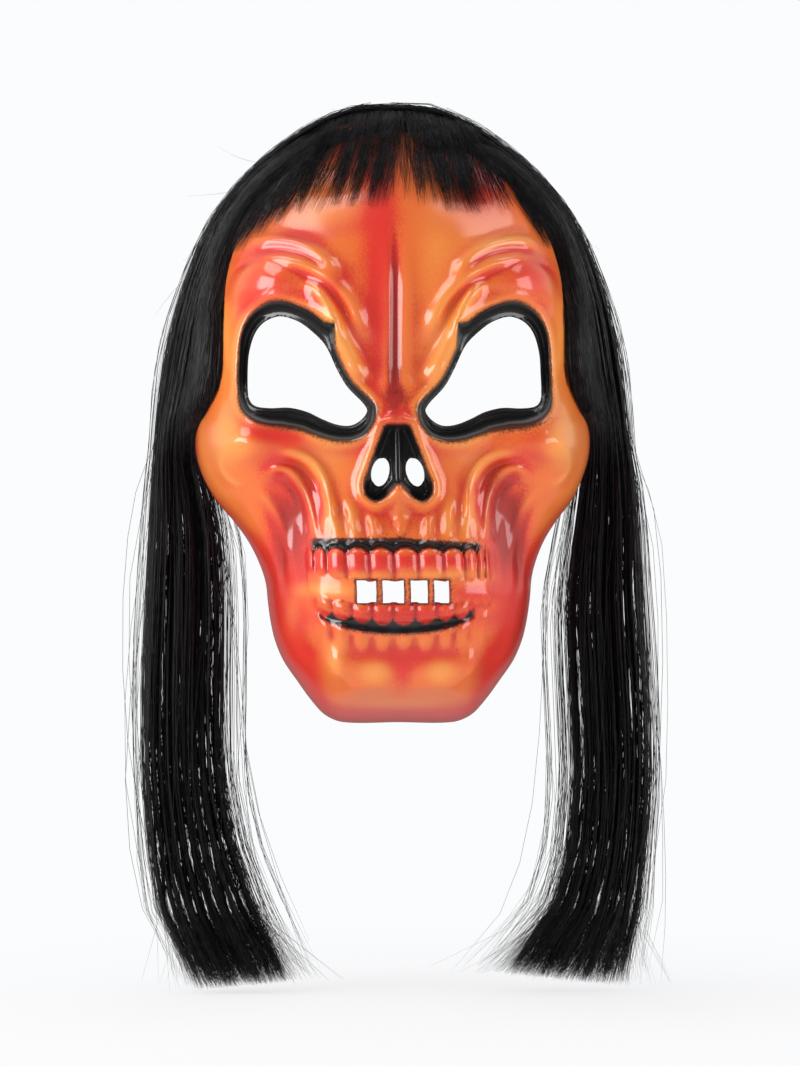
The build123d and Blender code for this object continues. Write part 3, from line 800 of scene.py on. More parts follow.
# The airbrush: colour, middle (x, z), half sizes, turn in degrees, strength, on both sides alike.
CLOUDS = [
    ("red", (-6.5, 66), (9, 62), 0, 1.0, False),
    ("red", (-42, 71), (26, 5), 14, 0.9, False),
    ("red", (-56, 51), (19, 12), 0, 0.85, False),
    ("red", (-27, 50), (5, 12), -40, 0.7, False),
    ("red", (-24, 112), (12, 20), -20, 0.5, False),
    ("red", (30, -24), (9, 9), 0, 0.6, False),
    ("red", (0, -127), (44, 7), 0, 0.8, False),
    ("red", (34, 102), (14, 20), 24, 1.1, False),
    ("red", (58, 57), (16, 11), -6, 0.85, False),
    ("red", (0, -3), (6, 4.5), 0, 1.2, False),
    ("red", (-54, -8), (18, 6), -8, 0.9, False),
    ("red", (-50, -22), (10, 8), -18, 0.5, False),
    ("red", (59, -15), (11, 8), 30, 0.75, False),
    ("red", (19, -12), (5, 9), 20, 0.4, True),
    ("red", (44, -48), (12, 30), 8, 1.1, True),
    ("red", (49, -84), (9, 22), -12, 0.7, True),
    ("red", (-18, -61.5), (22, 4.2), 0, 1.2, False),
    ("red", (18, -61), (18, 3.2), 0, 0.9, False),
    ("red", (0, -84), (36, 6), 0, 1.0, False),
    ("red", (28, -74), (12, 4), 0, 0.8, False),
    ("red", (0, -101), (26, 5), 0, 0.8, False),
    ("red", (0, -108), (5, 8), 0, 0.7, False),
    ("red", (-38, -108), (7, 14), 20, 0.7, False),
    ("red", (38, -106), (8, 16), -20, 0.9, False),
    # Deep red clouds lie in hollows, creases and under the fringe: partly airbrush and partly painted shade.
    ("deep", (44, -46), (7, 22), 12, 0.75, True),
    ("deep", (36, 106), (8, 18), 24, 0.55, False),
    ("deep", (51, -80), (4.5, 20), -8, 0.35, True),
    ("deep", (48, -96), (6, 18), -24, 0.35, False),
    ("deep", (0, 6), (5, 4), 0, 1.0, False),
    ("deep", (-1.0, 36), (1.6, 40), 0, 0.9, False),
    ("deep", (-1.0, 18), (3.0, 16), 0, 0.9, False),
    ("deep", (45, -46), (8, 22), 10, 0.5, False),
    ("deep", (55, -4), (18, 2.5), 6, 0.45, False),
    ("deep", (-4, -84.5), (32, 4), 0, 0.45, False),
    ("deep", (-4, -61), (34, 1.6), 0, 0.3, False),
    # Amber clouds: airbrush on raised parts, partly a painted highlight, as on the forehead at the left and
    # the left chin boss.
    ("amber_and_highlight", (16, 56), (9, 52), 0, 0.45, False),
    ("amber_and_highlight", (-31, 84), (11, 16), 18, 0.5, False),
    ("amber_and_highlight", (40, 72), (22, 8), 16, 0.45, False),
    ("amber_and_highlight", (23, 32), (5, 20), -28, 0.8, True),
    ("amber_and_highlight", (70, -12), (9, 16), 0, 0.6, True),
    ("amber_and_highlight", (30, -20), (15, 12), 0, 0.6, True),
    ("amber_and_highlight", (70, 28), (5, 28), 0, 0.7, True),
    ("amber_and_highlight", (-30, -73), (11, 3.5), 0, 0.9, False),
    ("amber_and_highlight", (16, -66.8), (18, 2.0), 0, 0.7, False),
    ("amber_and_highlight", (-16, -67), (12, 1.6), 0, 0.5, False),
    ("amber_and_highlight", (-11.5, -107), (7, 6), 0, 0.9, False),
    ("amber_and_highlight", (15.5, -107), (7, 6), 0, 0.9, False),
    ("amber_and_highlight", (-28, -102), (5, 9), 0, 0.7, False),
    ("amber_and_highlight", (-45, -82), (5, 13), -8, 0.45, False),
    ("amber_and_highlight", (0, -94), (26, 3), 0, 0.4, False),
    ("amber_and_highlight", (0, -121), (26, 4), 0, 0.5, False),
    ("amber_and_highlight", (24, -45), (10, 9), 0, 0.5, True),
    # Black spray clouds at the nose root, under the eyes and over the lip: airbrush, partly painted shade.
    ("black_spray_and_shade", (0, 7.5), (6, 2.2), 0, 0.45, False),
    ("black_spray_and_shade", (44, -6.5), (19, 2.6), 4, 0.55, False),
    ("black_spray_and_shade", (-40, -7.5), (10, 1.6), -4, 0.3, False),
    ("black_spray_and_shade", (0, -51.5), (3, 2), 0, 0.35, False),
]


def face_grid(face):
    """Flat sheet the shape of the rim, finer where the forms are finer, with its holes cut."""
    bm = bmesh.new()
    bmesh.ops.create_grid(bm, x_segments=face.columns, y_segments=face.rows, size=1.0)
    square = np.array([v.co[:2] for v in bm.verts])
    u, v = disc_from_square(square[:, 0], square[:, 1])
    angle = np.arctan2(v, u)
    reach = closer_at_rim(np.minimum(np.hypot(u, v), 1)) * rim_reach(angle) * MM
    for vert, a, r in zip(bm.verts, angle.tolist(), reach.tolist()):
        vert.co = (r * math.cos(a), 0, r * math.sin(a))
    refine(bm, fine_zone)
    for hole in (lambda x, z: outside(np.abs(x), z, EYE_LOOP), nostril_gap):
        trim_to(bm, hole)
    for left, right in WINDOWS:
        cut_window(bm, left, right)
    bmesh.ops.triangulate(bm, faces=[f for f in bm.faces if len(f.verts) > 4])
    return bm


def fine_zone(x, z):
    """Where the face has small forms or crisp paint."""
    eye, black = eye_band(np.abs(x), z)
    nose = outside(x, z, NOSE_LOOP)
    mouth = (np.abs(x) < 41) & (z > -98) & (z < -50) | (np.abs(x) < 36) & (z > -56) & (z < -28)
    crease = (np.abs(x) < 6) & (z > 0) & (z < 84)
    folds = np.zeros(np.shape(x), bool)
    for points, left_width, right_width, _, _ in RIDGES:
        gap, _, _ = nearest(np.abs(x), z, rounded(points, 3))
        folds |= gap < 1.2 * max(left_width, right_width)
    return ((eye > -1.6) & (eye < black + 2.5)) | (nose < 5) | mouth | crease | folds


# The flats for the band's rivets: thickness of the head that stands on one, radius of its foot,
# and how far in from the foot it takes to become flat.
BOSS_HEAD, BOSS_FOOT, BOSS_EASE = 0.0009, 0.0085, 0.0025


def press_bosses(bm):
    """Presses the small round flats for the band's rivets into the side walls."""
    for side in ("left", "right"):
        rivet = centre_of("strap_rivet_" + side)
        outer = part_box("strap_rivet_" + side)[0 if side == "left" else 1].x
        flat = outer - math.copysign(BOSS_HEAD, outer)
        for vert in bm.verts:
            if vert.co.x * flat > 0:
                away = math.hypot(vert.co.y - rivet.y, vert.co.z - rivet.z)
                share = min(max((BOSS_FOOT - away) / BOSS_EASE, 0), 1)
                share = share * share * (3 - 2 * share)
                vert.co.x += (flat - vert.co.x) * share


def store(mesh, name, values):
    """Keeps one number per vertex on the mesh, for its material."""
    mesh.attributes.new(name, "FLOAT", "POINT").data.foreach_set("value", values.astype(np.float32))


class MASK_OT_face(bpy.types.Operator):
    """Form, trim and paint the plastic face"""

    bl_idname = "mask.face"
    bl_label = "Formed face"

    def execute(self, context):
        face = context.scene.mask_face
        bm = face_grid(face)
        x, z = vertex_places(bm)
        front = depth(x, z)
        lean = table(LEAN, z) * (1 - step(0.9, 1.0, rim_share(x, z)) * step(-10, 5, z))
        for vert, d, shift in zip(bm.verts, front.tolist(), lean.tolist()):
            vert.co += Vector((shift, -d, 0)) * MM
        press_bosses(bm)
        bmesh.ops.recalc_face_normals(bm, faces=bm.faces)
        if sum(f.normal.y for f in bm.faces) > 0:
            bmesh.ops.reverse_faces(bm, faces=bm.faces)
        mesh = from_bmesh(bm, "painted_face")
        share = np.clip(rim_share(x, z), 0, 1)
        # How far each place is sunk: it adds red and deep red in the hollows as painted shade over the
        # airbrush, and amber on raised parts of the upper face as a painted highlight.
        hollow = np.clip(0.5 * cavity(x, z) + 0.55 * cavity(x, z, 3.8), -1, 1)
        black = black_gap(x, z)
        # Painted shadow on the side walls that turn back under the hair.
        wall_shade = step(0.955, 0.995, share) * step(-40, 0, z)
        black_spray_and_shade = 0.8 * np.exp(-(np.clip(black, 0, 9) / 1.2) ** 2) + 0.25 * wall_shade + airbrush("black_spray_and_shade", x, z)
        black_spray_and_shade += 0.75 * np.exp(-((z - gum_top(x)) / 1.7) ** 2) * within(x, -35, 31)
        # Painted shade along the edges of the windows between the teeth.
        black_spray_and_shade += 0.9 * np.exp(-(window_gap(x, z) / 1.0) ** 2)
        eye, width = eye_band(np.abs(x), z)
        black_spray_and_shade += 0.45 * np.exp(-(np.clip(eye - width, 0, 15) / 3.4) ** 2) * step(8, 0, z)
        deep = airbrush("deep", x, z) + np.clip(hollow, 0, 0.22) * step(0.5, 2.5, black) + 0.9 * wall_shade
        rim = 0.7 * step(0.90, 1.0, share) * step(-20, -45, z)
        store(mesh, "red", airbrush("red", x, z) + np.clip(hollow, 0, 1) * 0.8 + rim)
        store(mesh, "deep", deep)
        store(mesh, "amber_and_highlight", airbrush("amber_and_highlight", x, z) + np.clip(-hollow, 0, 1) * 0.35 * step(-60, -45, z))
        store(mesh, "black_spray_and_shade", black_spray_and_shade)
        store(mesh, "black_gap", black)
        for material in (painted_plastic(face), bare_plastic(face), cut_edge(face)):
            mesh.materials.append(material)
        piece = add_piece("painted_face", mesh, None)
        sheet = piece.modifiers.new("sheet", "SOLIDIFY")
        sheet.thickness = face.sheet
        sheet.offset = -1.0
        sheet.material_offset = 1
        sheet.material_offset_rim = 2
        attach(piece, "mask")
        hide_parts("mask_shell")
        return {"FINISHED"}


# ======================================================================================
# The hair
# ======================================================================================
# Course of a curtain from the parting to the tips: inner edge (|x|, z), outer edge (|x|, z),
# middle and half depth in y.
CROWN = [
    (-4.0, 121.0, -4.0, 132.6, -6.0, 5.0),
    (12.0, 119.5, 13.0, 132.2, -8.0, 8.0),
    (26.0, 114.0, 29.5, 126.8, -8.0, 10.0),
    (39.5, 104.0, 44.0, 118.2, -7.0, 11.0),
    (53.0, 92.5, 58.0, 107.0, -6.0, 11.0),
    (63.5, 81.0, 70.5, 93.6, -5.0, 11.0),
    (70.0, 65.0, 80.8, 77.5, -4.0, 11.0),
    (73.4, 47.0, 88.6, 58.0, -3.0, 10.5),
    (73.8, 27.0, 95.0, 36.5, -1.0, 10.0),
    (76.0, 9.0, 99.0, 13.0, 2.0, 9.5),
    (84.5, -10.0, 101.6, -12.0, 7.0, 9.0),
]
FALLS = {
    "left": [
        (82.0, -26.0, 102.4, -26.0, 11.0, 9.0),
        (76.8, -48.0, 103.0, -48.0, 11.0, 9.0),
        (75.3, -80.0, 104.6, -80.0, 11.0, 9.0),
        (76.0, -118.0, 106.0, -118.0, 11.0, 8.5),
        (75.5, -155.0, 105.6, -155.0, 11.0, 8.0),
        (69.5, -187.0, 102.6, -187.0, 11.0, 7.5),
        (60.5, -212.0, 98.0, -214.0, 11.0, 7.0),
        (45.0, -244.0, 81.0, -247.0, 11.0, 6.5),
    ],
    "right": [
        (83.5, -26.0, 104.2, -26.0, 11.0, 9.0),
        (81.0, -48.0, 106.0, -48.0, 11.0, 9.0),
        (77.5, -80.0, 107.2, -80.0, 11.0, 9.0),
        (79.0, -118.0, 109.8, -118.0, 11.0, 8.5),
        (80.5, -155.0, 110.8, -155.0, 11.0, 8.0),
        (78.0, -187.0, 108.4, -187.0, 11.0, 7.5),
        (71.0, -212.0, 105.5, -214.0, 11.0, 7.0),
        (50.0, -241.0, 97.0, -246.0, 11.0, 6.5),
    ],
}
# Distance of the point that the layers of a curtain fan out from, in front of it.
FAN = 1600.0
# Loose strands are held back past this |x|, and never get further than the ease beyond it.
REACH, REACH_EASE = 112.0, 9.0
STATIONS = len(CROWN) + 8
SHARES = {"inner": (0.0, 0.34), "middle": (0.33, 0.67), "outer": (0.66, 1.0)}
CLUMPS = 26
# Partings that run down each curtain: share of its width, half width as such a share.
PARTINGS = [
    (0.08, 0.020), (0.16, 0.012), (0.26, 0.018), (0.40, 0.010), (0.52, 0.016), (0.66, 0.014),
    (0.77, 0.018), (0.86, 0.014), (0.94, 0.020),
]
# Where the face meets the hair at the temples: z and |x|.
TEMPLE = [
    (-40, 86), (-12.8, 83), (-2.2, 81.2), (8.3, 75.7), (18.9, 73.2), (29.4, 73.4), (40, 73), (50.5, 72.8),
    (61, 71.8), (71.6, 68.7), (84, 62.5), (96, 53), (108, 40), (117, 26), (121, 0),
]


def course_at(side_name, t):
    """The course of a curtain at any place along it, as six columns."""
    fine = rounded(CROWN + FALLS[side_name], 8)
    at = np.arange(len(fine)) / 8
    return np.stack([np.interp(t, at, fine[:, k]) for k in range(6)], axis=-1)


def strands_mesh(name, points, radii, shades):
    """Fine three-sided strands through the points, with pointed tips, as one mesh."""
    profile = bpy.data.curves.new("strand_profile", "CURVE")
    profile.dimensions = "2D"
    corners = profile.splines.new("POLY")
    corners.points.add(2)
    for corner, angle in zip(corners.points, (90, 210, 330)):
        corner.co = (math.cos(math.radians(angle)), math.sin(math.radians(angle)), 0, 1)
    corners.use_cyclic_u = True
    section = bpy.data.objects.new("strand_profile", profile)
    curve = bpy.data.curves.new(name, "CURVE")
    curve.dimensions = "3D"
    curve.bevel_mode = "OBJECT"
    curve.bevel_object = section
    curve.use_fill_caps = True
    count, length, _ = points.shape
    flat = np.concatenate([points, np.ones((count, length, 1))], axis=2)
    for course, radius in zip(flat, radii):
        spline = curve.splines.new("POLY")
        spline.points.add(length - 1)
        spline.points.foreach_set("co", course.ravel())
        spline.points.foreach_set("radius", radius)
    drawn = bpy.data.objects.new(name, curve)
    bpy.context.scene.collection.objects.link(drawn)
    bpy.context.view_layer.update()
    graph = bpy.context.evaluated_depsgraph_get()
    mesh = bpy.data.meshes.new_from_object(drawn.evaluated_get(graph), depsgraph=graph)
    mesh.name = name
    bpy.data.objects.remove(drawn)
    bpy.data.objects.remove(section)
    mesh.materials.clear()
    store(mesh, "shade", np.repeat(shades, len(mesh.vertices) // count))
    return mesh


def strand_shades(bundle, draw):
    """Shade of each strand from 0 to 1, mostly shared by the strands of one small bundle; the fibre paints a
    glint on the higher ones.
    """
    shared = draw.random(int(bundle.max()) + 1)[bundle]
    return 0.75 * shared + 0.25 * draw.random(len(bundle))


def over_the_face(points, layer):
    """Lays the front layers at the temples over the face, up to its visible edge."""
    x, y, z = points[..., 0], points[..., 1], points[..., 2]
    edge = table(TEMPLE, z)
    front = -depth(edge, z) - 1.5 - 2.6 * (1 + layer)
    beside = step(-18, 2, z) * step(edge + 22, edge + 4, np.abs(x)) * step(0.6, 0.1, layer)
    points[..., 1] = y + np.minimum(front - y, 0) * beside
    return points


def part(across, t, crossing, phase):
    """Opens the partings between bundles, wider towards the tips."""
    opening = step(8.5, 12.0, t) * (1 + 0.9 * step(12, 17.5, t))
    for number, (place, half) in enumerate(PARTINGS):
        line = place + 0.012 * np.sin(0.8 * t + phase[number]) + 0.006 * np.sin(2.1 * t + phase[-number - 1])
        wide = half * opening * (1 - crossing)
        off = across - line
        near = np.abs(off) < 2.5 * wide
        across = np.where(near, line + np.sign(off) * (wide + 0.6 * np.abs(off)), across)
    return across


def curtain_strands(side_name, side, place, hair, draw):
    """Strand points of one third of one curtain."""
    # Place of each strand: across the curtain (u), through its depth (v) and along it (t).
    low, high = SHARES[place]
    count = hair.strands
    clump = draw.integers(math.floor(low * CLUMPS), math.ceil(high * CLUMPS), count)
    u = (clump + 0.5) / CLUMPS + draw.normal(0, 0.010, count)
    v = draw.uniform(-1, 1, count) * np.sqrt(draw.uniform(0.2, 1, count))
    veil = draw.random(count)
    if place == "inner":
        u = np.where(veil < 0.075, 0.02 - draw.exponential(0.12, count), u)
    if place == "outer":
        u = np.where(veil < 0.05, 0.98 + draw.exponential(0.06, count), u)
    u = np.clip(u, -0.42, 1.2)[:, None]
    start = np.where(draw.random(count) < 0.45, draw.uniform(0, 0.7, count), draw.uniform(0.3, 3.4, count))
    end = STATIONS - 1 - np.abs(draw.normal(0, 0.20, count))
    end = end - draw.random(count) * (draw.random(count) < 0.12)
    steps = np.linspace(0, 1, STATIONS)[None, :]
    t = start[:, None] + (end - start)[:, None] * steps
    t = t + draw.uniform(-0.35, 0.35, (count, 1)) * np.sin(math.pi * steps)
    # Waves that a clump shares and waves of each strand, both growing down the fall.
    course = course_at(side_name, t)
    fall = np.clip((t - 9) / 9, 0, 1)
    shared = np.random.default_rng(hair.seed + 31 + side)
    sway = shared.uniform(0, 2 * math.pi, (CLUMPS + 2, 4))[clump]
    clump_wave = 0.016 * np.sin(0.55 * t + sway[:, 0:1]) + 0.010 * np.sin(1.1 * t + sway[:, 1:2])
    own = draw.uniform(0, 2 * math.pi, (count, 4))
    own_wave = 0.008 * np.sin(0.9 * t + own[:, 0:1]) + 0.005 * np.sin(2.1 * t + own[:, 1:2])
    across = u + clump_wave * fall + own_wave * (0.35 + fall)
    # A few strands cross the partings or stray past the inner edge; the tips spread.
    crossing = (draw.random((count, 1)) < 0.03).astype(float)
    across = across + crossing * 0.05 * np.sin(0.9 * t + own[:, 2:3])
    stray = -0.07 * draw.exponential(1, (count, 1)) * (draw.random((count, 1)) < 0.3)
    across = np.maximum(across, np.minimum(stray, -0.6 * step(9.5, 12.0, t)))
    across = part(across, t, crossing, shared.uniform(0, 2 * math.pi, 2 * len(PARTINGS)))
    tips = np.clip((t - 16.8) / 1.2, 0, 1) ** 2
    spread = draw.random((count, 1))
    wild = np.select([spread < 0.07, spread < 0.35], [0.40, 0.14], 0.04)
    across = across + draw.normal(0, 1, (count, 1)) * wild * tips
    # From shares of the curtain to millimetres.
    deep = v[:, None] + 0.18 * np.sin(0.8 * t + own[:, 2:3]) + 0.1 * np.sin(1.9 * t + own[:, 3:4])
    deep = deep * 0.8 + 0.35 * np.sin(0.5 * t + sway[:, 2:3])
    deep = np.clip(deep, -1.1, 1.1)
    x = course[..., 0] + (course[..., 2] - course[..., 0]) * across
    z = course[..., 1] + (course[..., 3] - course[..., 1]) * np.clip(across, -0.1, 1.1)
    y = course[..., 4] + course[..., 5] * deep
    # Loose strands, the fan of the layers, and the lay over the face.
    loose = (draw.random((count, 1)) < 0.016) * step(8, 14, t)
    x = x + loose * (draw.normal(0, 6, (count, 1)) + 8 * np.sin(0.5 * t + own[:, 1:2]))
    y = y + loose * 5 * np.sin(0.6 * t + own[:, 3:4])
    x = x * (1 + (y - 11) / FAN)
    x = np.where(x > REACH, REACH + REACH_EASE * np.tanh((x - REACH) / REACH_EASE), x)
    points = over_the_face(np.stack([x, y, z], axis=-1), deep)
    points[..., 0] *= side
    bundle = np.clip((u[:, 0] + 0.5) * 34, 0, 60).astype(int)
    return points * MM, strand_shades(bundle, draw)


def strand_radii(count, length, radius, draw, tip=2):
    """Radius along each strand, with a pointed tip."""
    taper = np.ones(length)
    taper[-tip:] = np.linspace(0.8, 0.25, tip)
    return radius * draw.uniform(0.8, 1.15, (count, 1)) * taper[None, :]


class MASK_OT_curtains(bpy.types.Operator):
    """Draw the two long curtains of hair, strand by strand"""

    bl_idname = "mask.curtains"
    bl_label = "Curtains of hair"

    def execute(self, context):
        hair = context.scene.mask_hair
        fibre = hair_fibre(hair)
        for number, (side_name, side) in enumerate((("left", -1), ("right", 1))):
            draw = np.random.default_rng(hair.seed + number)
            for place in SHARES:
                points, shades = curtain_strands(side_name, side, place, hair, draw)
                radii = strand_radii(len(points), points.shape[1], hair.radius, draw)
                name = "hair_" + side_name + "_" + place
                piece = add_piece(name, strands_mesh(name, points, radii, shades), fibre)
                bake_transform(piece)
                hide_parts("hair_fall_" + side_name + "_" + place)
                if place == "inner":
                    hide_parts("hair_crown_" + side_name)
        return {"FINISHED"}


# Locks on the forehead: name, root (x, half width), tip (x, half width), z of the tips, strands.
FRINGE = [
    ("fringe_left_outer", (-22, 7), (-37, 5), 82, 100),
    ("fringe_left_inner", (-7, 9), (-17, 11), 84, 300),
    ("fringe_centre", (2, 8), (2, 8), 87, 50),
    ("fringe_right_inner", (10, 3), (13, 4), 85, 90),
    ("fringe_right_outer", (19, 7), (28.5, 8), 82, 300),
]
# Locks that sweep over the brow at each side: root (x, z), tips (x, z), spread, strands.
SWEEPS = [
    ((30, 120), (40, 84), 4.0, 60),
    ((33, 117), (47, 83), 3.0, 60),
    ((42, 109), (60, 78), 3.0, 120),
    ((47, 104), (65, 69), 3.0, 150),
    ((-24, 119), (-41, 83), 2.5, 50),
    ((-31, 114), (-51, 77), 3.0, 100),
    ((-39, 108), (-58, 72), 3.0, 110),
    ((-46, 102), (-65, 67), 3.0, 130),
]
# Stray hairs at each side, and how far out and up they may reach.
WISPS, WISP_OUT, WISP_UP = 22, 124, 142


def outward(x, z):
    """Unit normal of the face, pointing away from it."""
    d = 0.4
    slope_x = (depth(x + d, z) - depth(x - d, z)) / (2 * d)
    slope_z = (depth(x, z + d) - depth(x, z - d)) / (2 * d)
    length = np.sqrt(1 + slope_x ** 2 + slope_z ** 2)
    return np.stack([-slope_x / length, -1 / length, -slope_z / length], axis=-1)


def lying_strands(root_x, root_z, tip_x, tip_z, draw, lift=1.6):
    """Strands that leave the top of the rim and lie on the forehead down to their tips."""
    count, steps = len(root_x), np.linspace(0, 1, 11)[None, :]
    bend = draw.normal(0, 1.3, (count, 1)) * np.sin(math.pi * steps)
    bend = bend + draw.normal(0, 0.5, (count, 1)) * np.sin(2 * math.pi * steps)
    x = root_x[:, None] + (tip_x - root_x)[:, None] * steps ** 1.15 + bend
    z = root_z[:, None] + (tip_z - root_z)[:, None] * steps
    share = rim_share(x, z)
    limit = np.minimum(share, 0.992) / np.maximum(share, 1e-6)
    on_x, on_z = x * limit, z * limit
    surface = np.stack([on_x, -depth(on_x, on_z), on_z], axis=-1)
    height = 0.35 + draw.uniform(0.0, lift, (count, 1)) * (0.4 + 0.6 * steps)
    points = surface + outward(on_x, on_z) * height[..., None]
    points[..., 1] -= 8.5 * step(107, 120, z)
    points[..., 2] = np.minimum(points[..., 2], 131.8 - (points[..., 0] / 24) ** 2 * 2.6)
    return points


def gathered(count, draw, groups=9, loose=0.25):
    """Places from -1 to 1 that bunch into small groups, with a few strays between them."""
    middle = draw.uniform(-1, 1, groups)[draw.integers(0, groups, count)]
    bunched = middle + draw.normal(0, 0.07, count)
    return np.where(draw.random(count) < loose, draw.uniform(-1.15, 1.15, count), bunched)


def fringe_strands(root, tip, tip_z, count, draw):
    """Strand points of one lock on the forehead."""
    place = gathered(count, draw)
    root_x = root[0] + root[1] * np.clip(place, -1, 1) + draw.normal(0, 1.2, count)
    tip_x = tip[0] + tip[1] * place + draw.normal(0, 0.5, count)
    tip_x += np.where(draw.random(count) < 0.15, draw.normal(0, 3.5, count), 0)
    root_z = 130.6 - (root_x / 24) ** 2 * 3.0 - draw.uniform(0, 6.0, count)
    short = draw.exponential(9.0, count) * (0.5 + 0.5 * np.abs(place))
    return lying_strands(root_x, root_z, tip_x, tip_z + np.clip(short, 0, 30), draw)


def sweep_strands(root, tip, spread, count, draw):
    """Strand points of one lock that sweeps off the crown over the brow."""
    place = gathered(count, draw, 5)
    out = math.copysign(1, root[0])
    root_x = root[0] + spread * place * 1.2
    root_z = root[1] + 5 - 0.8 * out * spread * place
    tip_x = tip[0] + spread * place + draw.normal(0, 1.0, count)
    tip_z = tip[1] + draw.exponential(6.0, count)
    return lying_strands(root_x, root_z, tip_x, np.minimum(tip_z, root_z - 12), draw, lift=2.2)


def wisps(side, count, draw):
    """Single hairs that stand off the crown and the top of a curtain."""
    t = draw.uniform(0.6, 9.5, count)
    course = course_at("left", t)
    ahead = course_at("left", t + 0.4)
    steps = np.linspace(0, 1, 9)[None, :]
    length = draw.uniform(8, 30, count)[:, None]
    heading = np.arctan2(ahead[:, 3] - course[:, 3], ahead[:, 2] - course[:, 2])[:, None]
    heading = heading + draw.uniform(0.10, 0.6, (count, 1)) - draw.normal(0.5, 0.4, (count, 1)) * steps
    run = length / 8
    x = course[:, 2:3] - 1 + np.cumsum(np.cos(heading) * run, axis=1) - run
    z = course[:, 3:4] - 1 + np.cumsum(np.sin(heading) * run, axis=1) - run
    x, z = np.minimum(x, WISP_OUT), np.minimum(z, WISP_UP)
    y = course[:, 4:5] + draw.normal(0, 5, (count, 1)) + draw.normal(0, 5, (count, 1)) * steps
    return np.stack([side * x, y, z], axis=-1) * MM


class MASK_OT_fringe(bpy.types.Operator):
    """Draw the thin locks on the forehead and over the brows"""

    bl_idname = "mask.fringe"
    bl_label = "Fringe and brow locks"

    def execute(self, context):
        hair = context.scene.mask_hair
        fibre = bpy.data.materials["hair_fibre"]
        draw = np.random.default_rng(hair.seed + 5)
        for name, root, tip, tip_z, count in FRINGE:
            points = fringe_strands(root, tip, tip_z, count, draw) * MM
            radii = strand_radii(len(points), points.shape[1], hair.radius * 0.95, draw, tip=3)
            mesh = strands_mesh(name + "_strands", points, radii, draw.random(len(points)))
            piece = add_piece(name + "_strands", mesh, fibre, "fringe")
            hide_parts(name)
        for side_name, side in (("left", -1), ("right", 1)):
            sweeps = [s for s in SWEEPS if s[0][0] * side > 0]
            points = np.concatenate([sweep_strands(*s, draw) for s in sweeps]) * MM
            radii = strand_radii(len(points), points.shape[1], hair.radius * 0.95, draw, tip=3)
            name = "brow_locks_" + side_name
            mesh = strands_mesh(name, points, radii, draw.random(len(points)))
            add_piece(name, mesh, fibre, "mask")
            points = wisps(side, WISPS, draw)
            radii = strand_radii(len(points), points.shape[1], hair.radius * 0.7, draw, tip=4)
            name = "wisps_" + side_name
            mesh = strands_mesh(name, points, radii, draw.random(len(points)))
            add_piece(name, mesh, fibre, "mask")
        return {"FINISHED"}


# ======================================================================================
# Band, rivets, tape and staples
# ======================================================================================
# Path of the slack band from one rivet down to the middle: |x|, z.
BAND_PATH = [(77.8, 25.5), (77.8, 18.5), (77.8, 11.5), (71.6, -15.1), (54.0, -57.0), (30, -82.0), (0, -90.0)]
BAND_Y, BAND_WIDTH, BAND_THICK, BAND_RIBS = -10.0, 8.0, 1.0, 9


def swept(rings):
    """Closed mesh through rings of places, flat at both ends."""
    bm = bmesh.new()
    made = [[bm.verts.new(Vector(place) * MM) for place in ring] for ring in rings]
    around = len(made[0])
    for first, second in zip(made, made[1:]):
        for i in range(around):
            j = (i + 1) % around
            bm.faces.new((first[i], first[j], second[j], second[i]))
    for ring in (made[0], made[-1]):
        bm.faces.new(ring)
    bmesh.ops.recalc_face_normals(bm, faces=bm.faces)
    return bm


class MASK_OT_band(bpy.types.Operator):
    """Weave the flat ribbed elastic band"""

    bl_idname = "mask.band"
    bl_label = "Elastic band"

    def execute(self, context):
        whole = BAND_PATH + [(-x, z) for x, z in reversed(BAND_PATH[:-1])]
        path = rounded(whole, 14)
        along = np.gradient(path, axis=0)
        along /= np.linalg.norm(along, axis=1)[:, None]
        across = np.linspace(-1, 1, 4 * BAND_RIBS + 1)
        rib = 0.09 * np.cos(across * math.pi * BAND_RIBS)
        half = (BAND_THICK / 2 - 0.1 + rib) * np.sqrt(1.003 - across ** 10)
        section = list(zip(across, half)) + list(zip(across[::-1], -half[::-1]))
        rings = [[(c[0] - t[1] * h, BAND_Y + a * BAND_WIDTH / 2, c[1] + t[0] * h) for a, h in section]
                 for c, t in zip(path, along)]
        bm = swept(rings)
        lengths = np.concatenate([[0], np.cumsum(np.linalg.norm(np.diff(path, axis=0), axis=1))])
        uv = bm.loops.layers.uv.new("weave")
        bm.verts.index_update()
        for face in bm.faces:
            for loop in face.loops:
                ring, place = divmod(loop.vert.index, len(section))
                loop[uv].uv = (lengths[ring] * MM, section[place][0] * BAND_WIDTH / 2 * MM)
        mesh = from_bmesh(bm, "elastic_band")
        piece = add_piece("elastic_band", mesh, ribbed_elastic(), "strap")
        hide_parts("elastic_strap")
        return {"FINISHED"}


